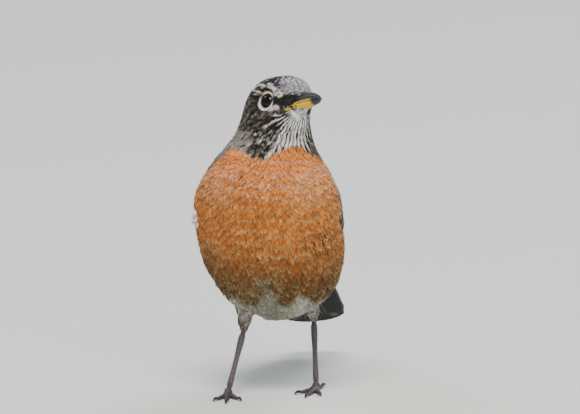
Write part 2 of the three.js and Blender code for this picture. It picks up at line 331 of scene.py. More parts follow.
def finishSurface(tree, shader, colour, height, strength, distance):
    # base colour, and a relief that stands distance high
    relief = tree.nodes.new("ShaderNodeBump")
    relief.inputs["Strength"].default_value = strength
    relief.inputs["Distance"].default_value = distance
    wire(tree, (colour, shader.inputs["Base Color"]), (height, relief.inputs["Height"]),
         (relief.outputs["Normal"], shader.inputs["Normal"]))


def makePlumeMaterial(name, barbs, strength, **settings):
    material, tree, shader = newMaterial(name, **settings)
    colour = attributeNode(tree, "plume")
    vane = attributeNode(tree, "vane")
    pattern = placeGroup(tree, barbGroup, **barbs)
    wire(tree, (vane.outputs["Vector"], pattern.inputs["Vane"]))
    mottle = placeMottle(tree, 520.0, 0.9, 1.08)
    tone = mathNode(tree, "MULTIPLY", pattern.outputs["Shade"], mottle.outputs["Tone"])
    toned = tinted(tree, colour.outputs["Color"], tone)
    finishSurface(tree, shader, toned, pattern.outputs["Height"], strength, 0.2 * mm)
    return material


softFinish = {"Specular_IOR_Level": 0.25, "Sheen_Weight": 0.06, "Sheen_Roughness": 0.5}
contourPlume = makePlumeMaterial("contourPlume", {"Count": 16.0, "Slant": 0.55, "Depth": 0.16, "Shaft": 0.1}, 0.35,
                                 Roughness=0.82, **softFinish)
hairPlume = makePlumeMaterial("hairPlume", {"Count": 3.0, "Slant": 0.2, "Depth": 0.05, "Shaft": 0.2}, 0.1,
                              Roughness=0.8, **softFinish)
flightPlume = makePlumeMaterial("flightPlume", {"Count": 60.0, "Slant": 0.16, "Depth": 0.14, "Shaft": 0.05}, 0.3,
                                Roughness=0.66, Specular_IOR_Level=0.2, Sheen_Weight=0.02)


# camera, floor and light

cameraAim = {"aim": (4.04, -10.8, 88.54), "azimuth": 11.0, "elevation": 9.0, "distance": 8.0, "lens": 1014.2}


def makeCamera(c):
    a, e = math.radians(c["azimuth"]), math.radians(c["elevation"])
    back = Vector((math.sin(a) * math.cos(e), -math.cos(a) * math.cos(e), math.sin(e)))
    camera = bpy.data.objects.new("camera", bpy.data.cameras.new("camera"))
    scene.collection.objects.link(camera)
    camera.location = Vector(c["aim"]) * mm + back * c["distance"]
    camera.rotation_euler = (-back).to_track_quat("-Z", "Y").to_euler()
    camera.data.lens = c["lens"]
    camera.data.sensor_width = 36
    camera.data.clip_end = 50
    scene.camera = camera


studio = {
    "floor": (0.78, 0.78, 0.76),
    "world": (0.66, 0.69, 0.72),
    "worldStrength": 0.72,
    "lights": [
        ("key", (0.2, -1.5, 2.3), 1.2, 64, (1.0, 0.97, 0.92)),
        ("fill", (1.2, -1.9, 0.9), 1.6, 16, (0.93, 0.96, 1.0)),
        ("rim", (0.6, 1.6, 1.9), 1.2, 26, (1.0, 1.0, 1.0)),
        ("glint", (-1.7, 0.45, 1.65), 0.7, 8, (0.85, 0.92, 1.0)),
    ],
}


def makeStudio(s):
    bm = bmesh.new()
    bmesh.ops.create_grid(bm, x_segments=1, y_segments=1, size=6)
    mesh = meshFrom(bm, "floor")
    material, tree, shader = newMaterial("paleFloor", Roughness=0.85, Specular_IOR_Level=0.2)
    shader.inputs["Base Color"].default_value = (*s["floor"], 1)
    mesh.materials.append(material)
    floor = bpy.data.objects.new("floor", mesh)
    scene.collection.objects.link(floor)
    world = bpy.data.worlds.new("studio")
    world.use_nodes = True
    world.node_tree.nodes["Background"].inputs["Color"].default_value = (*s["world"], 1)
    world.node_tree.nodes["Background"].inputs["Strength"].default_value = s["worldStrength"]
    scene.world = world
    for name, place, size, power, colour in s["lights"]:
        light = bpy.data.lights.new(name, "AREA")
        light.shape = "DISK"
        light.size = size
        light.energy = power
        light.color = colour
        lamp = bpy.data.objects.new(name, light)
        scene.collection.objects.link(lamp)
        lamp.location = place
        lamp.rotation_euler = (Vector((0, 0, 0.09)) - Vector(place)).to_track_quat("-Z", "Y").to_euler()


makeCamera(cameraAim)
makeStudio(studio)
print("camera and studio ready")


# plumage map: what colour, size and lie the feathers have at any place on the bird

legAxes = {
    "left": (np.array([15.5, -22.8, 54.0]), np.array([16.8, -14.8, 33.0])),
    "right": (np.array([-12.5, -32.8, 52.0]), np.array([-14.5, -34.8, 30.0])),
}
eyeAxis = 14.5  # degrees that each eye looks ahead of square to the head
eyeReach = {"ahead": -0.5, "out": 11.15, "up": 0.3}

plumage = {
    "crown": paint(24, 23, 25), "crownEdge": paint(226, 223, 228),
    "cheek": paint(66, 60, 53), "cheekEdge": paint(158, 146, 126),
    "nape": paint(160, 153, 141), "napeEdge": paint(212, 206, 194),
    "black": paint(14, 13, 13), "white": paint(255, 253, 246), "cream": paint(232, 208, 176),
    # painted light and shade: breastTop is lighter than the breast, and belly, lowBelly and fringeBelly darker, for
    # light from above and shade under the body
    "breastTop": paint(240, 146, 66), "breast": paint(210, 120, 38), "belly": paint(112, 58, 8),
    "lowBelly": paint(82, 46, 8),
    "fringeTop": paint(252, 226, 198), "fringeLow": paint(226, 192, 128), "fringeBelly": paint(176, 162, 104),
    # the vent colour is a painted shade: grey laid over the bird's white vent, which lies under the body
    "vent": paint(128, 128, 106), "ventEdge": paint(204, 202, 184),
    "back": paint(106, 100, 92), "backEdge": paint(146, 139, 128),
    "thigh": paint(136, 128, 116), "thighEdge": paint(190, 182, 170),
    "streak": paint(36, 24, 14), "rust": paint(160, 96, 58),
}

# height of the orange's upper edge across the front, by X
collarX = np.array([-34, -27, -20, -16, -8, -3.5, 3, 7, 11.4, 15, 19, 21.5, 24, 28, 34])
collarZ = np.array([106, 114, 121, 124.2, 124, 121.8, 121.1, 123, 125.3, 127.2, 126.2, 123.6, 121, 116, 106])
rowPitch = 4.8  # from one row of pale fringes on the breast to the next

eyeball = {"radius": 5.1, "ahead": -1.8, "out": 6.05, "up": 0.3}

# the bill from its root to its tip: how far ahead, then how high each edge runs or how wide each half is
tomium = np.array([[7, -5.4], [12, -4.1], [20, -3.3], [27, -3.6], [31, -4.3], [32.8, -4.9]])
billRidge = np.array([[7, 0], [12, 1.9], [16, 2.4], [20, 2.0], [24, 1.1], [28, -0.5]])
billKeel = np.array([[7, -7.9], [12, -7.0], [18, -6.3], [25, -5.9], [29, -5.4]])
billHalf = np.array([[7, 6], [10, 5.5], [14, 4.3], [20, 3.2], [26, 2]])


def eyePlace(side):
    # centre of an eye, and the way it looks; side is 1 for left and -1 for right
    a = math.radians(eyeAxis)
    middle = inHead(eyeball["ahead"], side * eyeball["out"], eyeball["up"])
    return middle, ahead * math.sin(a) + left * side * math.cos(a)


def eyePolar(p):
    # distance and angle round the nearer eye: 0 ahead, 90 above
    f, l, u = toHead(p)
    c, s = math.cos(math.radians(eyeAxis)), math.sin(math.radians(eyeAxis))
    a = (f - eyeReach["ahead"]) * c - (np.abs(l) - eyeReach["out"]) * s
    out = (f - eyeReach["ahead"]) * s + (np.abs(l) - eyeReach["out"]) * c
    b = u - eyeReach["up"]
    r = np.hypot(a, b)
    return np.where(out > -7, r, 50), np.degrees(np.arctan2(b, a))


def headShare(p):
    # 1 on the head, falling to 0 down the neck
    return ease(118, 130, p[..., 2] + 0.22 * (p[..., 1] + 60))


def legShare(p):
    # 1 on the thighs, falling to 0 on the trunk, and the way down the nearer one
    share = np.zeros(len(p))
    way = np.zeros_like(p)
    for hip, ankle in legAxes.values():
        run = ankle - hip
        t = np.clip((p - hip) @ run / (run @ run), 0, 1.2)
        gap = np.linalg.norm(p - hip - t[:, None] * run, axis=1)
        s = ease(0.25, 0.5, t) * ease(11, 8, gap)
        way = np.where((s > share)[:, None], unit(run), way)
        share = np.maximum(share, s)
    return share, way


def legEnd(p):
    # rises to 1 over the last few millimetres above each heel
    end = np.zeros(len(p))
    for hip, ankle in legAxes.values():
        gap = np.linalg.norm(p - ankle, axis=1)
        end = np.maximum(end, ease(5.5, 2.5, gap))
    return end


lieField = {"bill": inHead(9, 0, -2.5), "headEnd": np.array([2, -46, 90.0]),
            "neckStart": np.array([4, -50, 143.0]), "tailEnd": np.array([0, 40, 44.0])}


def layAt(p, n):
    # which way the feathers lie: out from the bill, down the neck, along the body to the tail
    head = unit(p - lieField["bill"]) + 0.9 * unit(lieField["headEnd"] - p)
    body = unit(p - lieField["neckStart"]) + 0.85 * unit(lieField["tailEnd"] - p)
    way = mix(unit(body), unit(head), headShare(p))
    share, run = legShare(p)
    way = mix(way, run, share)
    r, angle = eyePolar(p)
    out = ahead * np.cos(np.radians(angle))[:, None] + over * np.sin(np.radians(angle))[:, None]
    way = mix(way, unit(out - ahead * 0.55), ease(7.5, 4.0, r) * headShare(p))
    return unit(way - n * dot(way, n)[:, None])


def dorsalHeight(p):
    # millimetres above the line from neck to tail root, towards the back
    start, end = np.array([0, -52, 126.0]), np.array([0, 4, 66.0])
    run = unit(end - start)
    up = np.array([0, -run[2], run[1]])
    return (p - start) @ up


def featherSize(p):
    # length of a feather rooted at each point
    r = eyePolar(p)[0]
    f, l, u = toHead(p)
    dorsal = dorsalHeight(p)
    head = 2.35 + 0.9 * ease(2, -12, f) + 1.3 * ease(-8, -18, u)
    head = head - 0.5 * ease(4, 11, f) * ease(-9, -4, u)
    head = np.where(r < 10, 1.45 + (head - 1.45) * ease(4.5, 10, r), head)
    size = 3.7 + 1.8 * ease(124, 104, p[:, 2]) + 1.4 * ease(96, 66, p[:, 2])
    size = size + 1.2 * ease(0, 14, dorsal)
    size = size - 2.5 * ease(50, 40, p[:, 2]) * ease(-20, -34, p[:, 1])
    share = legShare(p)[0]
    size = size * (1 - share) + 3.6 * share
    w = headShare(p)
    return head * w + size * (1 - w)


def coatDepth(p):
    # how far the coat stands off the skin
    r = eyePolar(p)[0]
    f, l, u = toHead(p)
    head = 1.25 - 0.55 * ease(4, 10, f) + 0.3 * ease(-8, -18, u)
    head = head * (0.3 + 0.7 * ease(4.0, 8.5, r))
    share = legShare(p)[0]
    body = 2.3 * (1 - share) + 0.9 * share + 1.3 * legEnd(p)
    w = headShare(p)
    return head * w + body * (1 - w)


def bellyTrim(p, n):
    # how far the lower flanks draw in under the feathers
    y, z, out = p[:, 1], p[:, 2], n[:, 0]
    sides = np.interp(z, [36, 44, 50, 58, 66, 82], [3.2, 2.8, 2.2, 1.5, 0.9, 0.0])
    sides = sides * (ease(0.15, 0.8, -out) + 0.4 * ease(0.15, 0.8, out)) * ease(20, 0, y)
    hang = 1.8 * ease(0.45, 0.9, -n[:, 2]) * ease(58, 48, z) * ease(-4, -16, y)
    hang = hang + 1.5 * ease(0.15, 0.8, out) * bump(z, 53, 7) * ease(-4, -16, y)
    sides = sides + 1.3 * bump(z, 86, 9) * ease(0.4, 0.9, out) - 1.1 * bump(z, 97, 8) * ease(0.5, 0.9, -out)
    return (sides - hang) * (1 - legShare(p)[0])


def headTrim(p):
    # the throat and the forehead stand a little fuller
    f, l, u = toHead(p)
    throat = 1.7 * bump(u, -10, 4.5) * ease(3, 9, f) * ease(1, 5, np.abs(l))
    crown = 1.1 * bump(f, 9.5, 5.5) * ease(4, 10, u) * bump(np.abs(l), 3.5, 5.5)
    return -(throat + crown)


def throatMap(f, l, u):
    # distance down from the chin, and the place across it, which slips to the left lower down
    drop = np.sqrt(np.maximum(0, 12 - f) ** 2 * 0.5 + np.maximum(0, -6.5 - u) ** 2)
    across = l - 3.9 * ease(4, 20, drop)
    return drop, across


def markings(p, grain):
    # base colour, fringe colour and fringe strength at points p; grain is a random number from 0 to 1 each
    f, l, u = toHead(p)
    side = np.abs(l)
    r, angle = eyePolar(p)
    dorsal = dorsalHeight(p)
    x, y, z = p.T
    soft = cloud(p, 2.2)
    wide = cloud(p, 9.0, 3.3)
    shade = plumage

    # crown, frosted towards the forehead, black along its sides
    fromBill = p - lieField["bill"]
    away = np.linalg.norm(fromBill, axis=1, keepdims=True)
    rays = fromBill / np.maximum(away, 1) * 20
    flecks = cloud(rays + away * 0.35, 0.8, 5.1)
    frost = 0.12 * ease(7, 14, f) - 0.05 - 0.22 * ease(-2, -12, f) + 0.4 * (cloud(rays, 1.3, 2.2) - 0.5)
    edge = mix(shade["crownEdge"], shade["nape"], ease(1, -8, f) * 0.9)
    base = mix(shade["crown"], edge, ease(0.59, 0.67, flecks + frost) * 0.85)
    amount = 0.08 + 0.14 * ease(2, 10, f)
    crownSide = bump(u, 9.8, 2.2) * bump(f, -7, 6) * ease(3, 9, side)
    base = mix(base, shade["black"], crownSide * 0.9)
    amount = amount * (1 - 0.8 * crownSide)
    base = mix(base, shade["crownEdge"], 0.25 * ease(6, 13, f) * ease(0, 4, u))

    # cheek, speckled
    cheek = ease(4.5, 2.5, u - 0.25 * np.minimum(f + 4, 5)) * ease(13, 9, f)
    cheek = cheek * ease(3, 7, side + 0.2 * np.maximum(-f, 0))
    speckle = mix(shade["cheek"], shade["black"], ease(0.6, 0.3, flecks))
    speckle = mix(speckle, shade["cheekEdge"], 0.55 * ease(0.55, 0.72, flecks))
    base = mix(base, mix(speckle, shade["black"], ease(0.45, 0.75, soft) * 0.6), cheek)
    edge = mix(edge, shade["cheekEdge"], cheek)
    amount = amount * (1 - cheek) + (0.38 + 0.4 * ease(0.5, 0.8, wide)) * cheek

    # nape and sides of the neck
    napeBack = ease(-16, -23, f - 0.25 * (u + 4) + 5 * (soft - 0.5)) * ease(3, -5, u)
    napeLow = ease(-16.6, -18.2, u + 0.3 * f) * ease(-4, -8, f - 0.7 * np.minimum(u + 17, 0))
    nape = np.clip(napeBack + napeLow, 0, 1)
    base = mix(base, mix(shade["nape"], shade["cheek"], 0.5 * soft), nape)
    edge = mix(edge, shade["napeEdge"], nape)
    amount = amount * (1 - nape) + 0.32 * nape

    # throat, streaked black and white, with a black mass each side
    drop, across = throatMap(f, l, u)
    line = ease(-6.2, -7.8, u - 0.55 * np.minimum(f - 8.5, 0))
    line = line * ease(-9, -3, f + 0.55 * np.maximum(u + 17, 0) - 0.5 * np.minimum(u + 17, 0) + 2.5)
    throat = line * ease(17, 13.5, side)
    fan = np.arctan2(across, drop + 5.0)
    wave = np.sin(fan * np.where(across < 0, 60, 45) + 2.6 * cloud(p, 3.0, 1.7)) * 0.5 + 0.5
    broken = cloud(p, 2.6, 7.1)
    halfWhite = np.where(across < 0, 4.2, 7.0) + 0.36 * (drop - 3)
    whiteShare = 0.66 - 0.3 * ease(-1.4, 1.4, np.abs(across) - halfWhite) - 0.06 * ease(6, 12, drop)
    whiteShare = whiteShare + 0.22 * ease(4.5, 1.5, drop) * ease(5.0, 3.0, np.abs(across))
    torn = 0.19 * ease(-5, -9, across)
    whiteShare = whiteShare - 0.085 * ease(-5, -8, across)
    white = ease(-0.04, 0.04, whiteShare - ((0.72 - torn) * wave + 0.28 * broken + torn * cloud(p, 1.4, 3.3)))
    throatColour = mix(shade["black"], shade["white"], white)
    buff = mix(shade["cream"], shade["cheekEdge"], 0.4 * ease(12, 6, drop))
    throatColour = mix(throatColour, buff, white * (0.2 * ease(0.5, 0.8, wide) + 0.8 * ease(7, 11, -across)))
    massEnd = ease(9, 15, drop) * ease(-4, -7, across)
    throatColour = mix(throatColour, shade["nape"], massEnd * ease(0.5, 0.64, flecks) * 0.7)
    base = mix(base, throatColour, throat)
    edge = mix(edge, mix(shade["cheekEdge"], shade["white"], 0.5 + 0.5 * white), throat)
    amount = amount * (1 - throat) + (0.2 + 0.15 * white) * throat

    # lores, eye ring, brow and the pale marks round the eye
    lore = segmentMark(f, u, (4.4, -1.4), (18.5, -1.7), 2.8) + segmentMark(f, u, (7.6, -3.4), (14.5, -3.6), 2.2)
    lore = np.clip(lore, 0, 1) * ease(1.8, 3.5, side)
    base = mix(base, shade["black"], lore * 0.95)
    amount = amount * (1 - 0.9 * lore)
    gap = bump(angle, 2, 24) + 0.9 * bump(angle, 138, 13)
    ring = ease(5.0, 4.55, r - 0.5 * bump(angle, -150, 60) - 0.15 * bump(angle, -75, 40)) * (1 - np.clip(gap, 0, 1))
    ringColour = mix(shade["white"], shade["cream"], 0.75 * bump(angle, 105, 50) + 0.2 * soft)
    darkRound = ease(7.4, 5.4, r) * headShare(p) * (1 - ring)
    base = mix(base, shade["black"], darkRound * 0.7)
    amount = amount * (1 - 0.75 * darkRound)
    brow = segmentMark(f, u, (2.4, 6.9), (6.0, 4.3), 1.7) + segmentMark(f, u, (5.6, 4.2), (10.2, 0.9), 2.0)
    brow = np.clip(brow * 1.2, 0, 1) * ease(4, 6.5, side) * (0.15 + 0.85 * ease(0.42, 0.5, flecks))
    arc = segmentMark(f, u, (-11.0, 7.8), (-5.0, 8.9), 0.65) + segmentMark(f, u, (-5.0, 8.9), (-0.2, 7.4), 0.6)
    arc = np.clip(arc + segmentMark(f, u, (-11.0, 7.8), (-4.2, 5.0), 0.6), 0, 1) * ease(5, 8, side)
    spot = segmentMark(f, u, (3.4, -5.6), (7.8, -5.0), 1.35) * ease(5, 7.5, side)
    pale = np.clip(ring + brow + 0.9 * arc + 0.85 * spot, 0, 1) * headShare(p)
    paleColour = mix(ringColour, shade["cream"], 0.4 * spot)
    base = mix(base, paleColour, pale)
    edge = mix(edge, paleColour, pale)
    rusty = bump(f, 11.4, 1.0) * bump(u, 2.6, 1.0) * ease(4, 6, side)
    base = mix(base, shade["rust"], rusty * 0.4)
    farBrow = bump(f, 14.5, 2.0) * bump(u, 2.6, 1.5) * ease(1.0, 2.5, l)
    base = mix(base, shade["white"], ease(0.3, 0.6, farBrow))

    # breast, belly and vent
    collar = np.interp(x, collarX, collarZ) + 1.6 * (cloud(p, 2.6, 5.5) - 0.5)
    ventral = ease(6.5, 2.5, dorsal + 1.5 * (wide - 0.5) + 6.5 * ease(95, 106, z) * ease(5, -5, x))
    orange = ease(0.9, -0.9, z - collar) * ventral
    # painted light and shade: the orange and its fringes grow lighter towards the top of the breast and darker down
    # the belly
    top = ease(92, 116, z)
    low = ease(86, 54, z)
    warm = mix(mix(shade["breast"], shade["breastTop"], top), shade["belly"], low)
    warm = mix(warm, shade["lowBelly"], ease(60, 46, z) * 0.75)
    warm = warm * (0.84 + 0.32 * cloud(p, 6.0, 2.2))[:, None]
    fringe = mix(mix(shade["fringeLow"], shade["fringeTop"], top), shade["fringeBelly"], low)
    # pale fringes high on both sides of the breast; those on the right are made stronger still, partly the bird's own
    # fringes and partly painted light where that side catches more light
    strong = 0.5 + 0.7 * bump(x, -21, 9) * bump(z, 109, 11) + 1.4 * bump(x, 25, 9) * bump(z, 104, 13)
    strong = strong - 0.15 * bump(x, 4, 12) * bump(z, 116, 8) + 0.15 * ease(90, 76, z)
    arcs = np.linalg.norm(p - np.array([5, -50, 133.0]), axis=1) + 2.6 * cloud(p, 9.0, 6.1)
    rows = ease(-0.2, 0.8, np.sin(arcs * 2 * math.pi / rowPitch)) * ease(60, 76, z)
    strong = strong * (0.25 + 1.5 * rows + 0.6 * low)
    strong = strong * (0.75 + 0.5 * cloud(p, 7.0, 9.4))
    body = mix(shade["back"], warm, orange)
    bodyEdge = mix(shade["backEdge"], fringe, orange)
    bodyAmount = 0.4 * (1 - orange) + strong * orange
    middle = x - 1.0 - 0.1 * (y + 50)
    ventTop = 45.2 + 5.0 * bump(x, 17.5, 4) + 3.0 * bump(x, -17, 4) + 4.5 * bump(middle, 0, 4)
    ventTop = ventTop + 0.5 * np.clip(y + 42, 0, 50)
    vent = ease(1.6, -1.6, z - ventTop + 3.0 * (soft - 0.5)) * ease(9, 3, dorsal)
    vent = np.clip(vent + 0.8 * bump(middle, 0, 6) * ease(67, 54, z) * ease(0.4, 0.62, soft), 0, 1)
    # the vent's grey is a painted shade over its white
    body = mix(body, mix(shade["vent"], shade["ventEdge"], 0.7 * bump(np.abs(x), 15, 6)), vent)
    bodyEdge = mix(bodyEdge, shade["ventEdge"], vent)
    thigh = legShare(p)[0]
    grit = ease(0.35, 0.65, cloud(p, 0.9, 4.2))
    body = mix(body, mix(shade["thigh"] * 0.55, shade["thighEdge"], grit), thigh)
    bodyEdge = mix(bodyEdge, shade["thighEdge"], thigh)
    bodyAmount = bodyAmount * (1 - thigh) + 0.5 * thigh

    # the body's colours take over below the collar
    collarShare = np.clip(orange + ease(117, 112, z), 0, 1)
    base = mix(base, body, collarShare)
    edge = mix(edge, bodyEdge, collarShare)
    amount = amount * (1 - collarShare) + bodyAmount * collarShare
    base = base * (0.86 + 0.28 * grain)[:, None]
    return base, edge, np.clip(amount, 0, 1)


def segmentMark(a, b, start, end, width):
    # 1 on a short line in a plane of two coordinates, falling to 0 at width
    start, end = np.array(start), np.array(end)
    run = end - start
    t = np.clip(((a - start[0]) * run[0] + (b - start[1]) * run[1]) / (run @ run), 0, 1)
    gap = np.hypot(a - start[0] - t * run[0], b - start[1] - t * run[1])
    return ease(width, width * 0.55, gap)


# skin: one fused form under the coat, carrying the same markings

skinLook = {"voxel": 1.1, "swell": 0.22, "rounds": 14, "lidLevel": 2.75,
            "parts": ("head", "neck", "trunk", "thigh_left", "thigh_right")}


def makeDownMaterial(name, scale, **settings):
    material, tree, shader = newMaterial(name, **settings)
    colour = attributeNode(tree, "plume")
    mottle = placeMottle(tree, scale, 0.75, 1.1)
    toned = tinted(tree, colour.outputs["Color"], mottle.outputs["Tone"])
    finishSurface(tree, shader, toned, mottle.outputs["Height"], 0.5, 0.4 * mm)
    return material


def makeSkin(look):
    mesh = meltedCopy("skin", look["parts"], look)
    co = pointsOf(mesh)
    n = normalsOf(mesh)
    co = co - n * (coatDepth(co) + bellyTrim(co, n) + headTrim(co))[:, None]
    for side in (1, -1):  # the face dips to meet the lids
        middle, way = eyePlace(side)
        out = (co - middle) @ way
        r = np.linalg.norm(co - middle - out[:, None] * way, axis=1)
        most = look["lidLevel"] + 0.34 * np.maximum(0, r - 3.3)
        sink = np.where((r < 8) & (out > 0), np.maximum(0, out - most), 0) * ease(8, 6, r)
        co = co - sink[:, None] * way
    setPoints(mesh, co)
    smoothShade(mesh)
    base, edge, amount = markings(co, np.full(len(co), 0.5))
    setColour(mesh, "plume", mix(base, edge, 0.25 * amount) * 0.8)
    material = makeDownMaterial("skinDown", 900.0, Roughness=0.9, Specular_IOR_Level=0.15)
    skin = addPiece("skin", mesh, material)
    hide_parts("head", "neck", "trunk", "thigh_left", "thigh_right")
    bpy.context.view_layer.objects.active = skin
    skin.select_set(True)
    bpy.ops.object.mode_set(mode="EDIT")
    bpy.ops.mesh.select_all(action="SELECT")
    bpy.ops.uv.smart_project(angle_limit=math.radians(66), island_margin=0.006)
    bpy.ops.object.mode_set(mode="OBJECT")
    skin.select_set(False)
    mesh.uv_layers[0].name = "OFBake"
    return skin


skin = makeSkin(skinLook)
skinMesh = skin.data
skinPoints = pointsOf(skinMesh)
skinNormals = normalsOf(skinMesh)
skinTriangles = trianglesOf(skinMesh)
triangleLoops = np.zeros(len(skinTriangles) * 3, np.int32)
skinMesh.loop_triangles.foreach_get("loops", triangleLoops)
skinUv = np.zeros(len(skinMesh.loops) * 2)
skinMesh.uv_layers["OFBake"].data.foreach_get("uv", skinUv)
skinUv = skinUv.reshape(-1, 2)[triangleLoops.reshape(-1, 3)]
skinTree = BVHTree.FromPolygons(skinPoints.tolist(), skinTriangles.tolist())
print("skin ready:", len(skinTriangles), "triangles")


def nearSkin(points):
    # nearest place, smooth normal and bake place on the skin for each point
    hits = [skinTree.find_nearest(Vector(p)) for p in points]
    place = np.array([h[0] for h in hits])
    index = np.array([h[2] for h in hits])
    corners = skinPoints[skinTriangles[index]]
    a, b, c = corners[:, 0], corners[:, 1], corners[:, 2]
    area = np.maximum(np.linalg.norm(np.cross(b - a, c - a), axis=1), 1e-9)
    wb = np.linalg.norm(np.cross(c - a, place - a), axis=1) / area
    wc = np.linalg.norm(np.cross(b - a, place - a), axis=1) / area
    weights = np.stack([1 - wb - wc, wb, wc], 1)[:, :, None]
    normal = unit((skinNormals[skinTriangles[index]] * weights).sum(1))
    uv = (skinUv[index] * weights).sum(1)
    return place, normal, uv


def scatterRoots(keep, packing):
    # root places spread evenly over the skin, closer where feathers are small
    corners = skinPoints[skinTriangles]
    middle = corners.mean(1)
    wanted = keep(middle)
    spacing = np.maximum(featherSize(middle) * packing, 0.3)
    area = np.linalg.norm(np.cross(corners[:, 1] - corners[:, 0], corners[:, 2] - corners[:, 0]), axis=1) / 2
    expected = np.where(wanted, area / spacing ** 2, 0) * 5
    count = rng.poisson(expected)
    index = np.repeat(np.arange(len(middle)), count)
    rng.shuffle(index)
    split = rng.random((len(index), 2))
    flip = split.sum(1) > 1
    split[flip] = 1 - split[flip]
    a, b, c = (corners[index, i] for i in range(3))
    points = a + (b - a) * split[:, :1] + (c - a) * split[:, 1:]
    reach = spacing[index]
    tree = kdtree.KDTree(len(points))
    for i, p in enumerate(points.tolist()):
        tree.insert(p, i)
    tree.balance()
    alive = np.ones(len(points), bool)
    for i, p in enumerate(points.tolist()):
        if alive[i]:
            for spot, j, gap in tree.find_range(p, reach[i]):
                if j != i:
                    alive[j] = False
    return points[alive]


# templates: a thin closed blade and a three-sided barb

def templateOf(bm, flat):
    bm.verts.index_update()
    shape = {
        "co": np.array([v.co[:] for v in bm.verts]),
        "loops": np.array([v.index for f in bm.faces for v in f.verts]),
        "sizes": np.array([len(f.verts) for f in bm.faces]),
    }
    shape["rim"] = np.array([flat and abs(v.co.z) < 1e-6 for v in bm.verts])
    bm.free()
    return shape


def makeBlade(columns, rows):
    bm = bmesh.new()
    bmesh.ops.create_grid(bm, x_segments=columns, y_segments=rows, size=1)
    lower = bmesh.ops.duplicate(bm, geom=bm.faces[:])["geom"]
    lowerFaces = [g for g in lower if isinstance(g, bmesh.types.BMFace)]
    bmesh.ops.reverse_faces(bm, faces=lowerFaces)
    lowerVerts = {v for f in lowerFaces for v in f.verts}
    for v in bm.verts:
        inner = abs(v.co.x) < 0.99 and abs(v.co.y) < 0.99
        v.co.z = (-1 if v in lowerVerts else 1) if inner else 0
        v.co.y = (v.co.y + 1) / 2
    bmesh.ops.remove_doubles(bm, verts=bm.verts, dist=1e-4)
    return templateOf(bm, True)


def makeBarb():
    bm = bmesh.new()
    bmesh.ops.create_cone(bm, cap_ends=True, segments=3, radius1=1, radius2=0, depth=1)
    foot = [f for f in bm.faces if f.normal.z < -0.9]
    root = bmesh.ops.poke(bm, faces=foot)["verts"]
    for v in bm.verts:  # pointed at both ends, widest a third of the way along
        v.co.z = 0 if v in root else (1 if v.co.z > 0 else 0.35)
    return templateOf(bm, False)


blade = makeBlade(4, 3)
smallBlade = makeBlade(2, 3)
longBlade = makeBlade(8, 18)
barb = makeBarb()


def joinCopies(name, shape, places, colour, vane, uv, material):
    # one mesh from many copies of a template, with colour, vane and bake place per vertex
    count, size = places.shape[:2]
    mesh = bpy.data.meshes.new(name)
    mesh.vertices.add(count * size)
    mesh.vertices.foreach_set("co", (places * mm).astype(np.float32).ravel())
    loops = (shape["loops"][None] + np.arange(count)[:, None] * size).ravel()
    mesh.loops.add(len(loops))
    mesh.loops.foreach_set("vertex_index", loops.astype(np.int32))
    sizes = np.tile(shape["sizes"], count)
    mesh.polygons.add(len(sizes))
    mesh.polygons.foreach_set("loop_start", np.concatenate([[0], np.cumsum(sizes)[:-1]]).astype(np.int32))
    mesh.update(calc_edges=True)
    smoothShade(mesh)
    if shape["rim"].any():  # a vane's two faces meet at a crisp rim
        ends = np.zeros(len(mesh.edges) * 2, np.int32)
        mesh.edges.foreach_get("vertices", ends)
        rim = np.tile(shape["rim"], count)[ends.reshape(-1, 2)].all(1)
        mesh.attributes.new("sharp_edge", "BOOLEAN", "EDGE").data.foreach_set("value", rim)
    setColour(mesh, "plume", colour.reshape(-1, 3))
    setVector(mesh, "vane", vane.reshape(-1, 3))
    layer = mesh.uv_layers.new(name="OFBake")
    layer.data.foreach_set("uv", uv.reshape(-1, 2)[loops].astype(np.float32).ravel())
    return addPiece(name, mesh, material)


def centreLine(root, size, rise, jitter):
    # three points and normals per feather, hugging the skin along the lie
    place, normal, uv = nearSkin(root)
    way = layAt(place, normal)
    side = np.cross(normal, way)
    way = unit(way + side * rng.normal(0, jitter, len(root))[:, None])
    half = size[:, None] / 2
    middle, middleNormal = nearSkin(place + way * half)[:2]
    onward = unit(layAt(middle, middleNormal) * 0.45 + way)
    onward = unit(onward - middleNormal * dot(onward, middleNormal)[:, None])
    tip, tipNormal = nearSkin(middle + onward * half)[:2]
    depth = coatDepth(tip)
    lift = rise * (1 + rng.normal(0, 0.04, len(root)))
    knots = np.stack([
        place + normal * 0.3 * depth[:, None],
        middle + middleNormal * (depth * lift * 0.72)[:, None],
        tip + tipNormal * (depth * lift)[:, None],
    ], 1)
    return knots, np.stack([normal, middleNormal, tipNormal], 1), uv


def alongLine(knots, u):
    # place and direction at u on the curve through three knots
    w = np.stack([2 * (u - 0.5) * (u - 1), -4 * u * (u - 1), 2 * u * (u - 0.5)], -1)
    d = np.stack([4 * u - 3, 4 - 8 * u, 4 * u - 1], -1)
    return np.einsum("fvk,fkc->fvc", w, knots), np.einsum("fvk,fkc->fvc", d, knots)


def vaneWidth(u):
    # how wide a blade is along its length, as a share of its widest
    return np.sin(np.pi * np.clip(u * 0.86 + 0.09, 0, 1)) ** 0.7


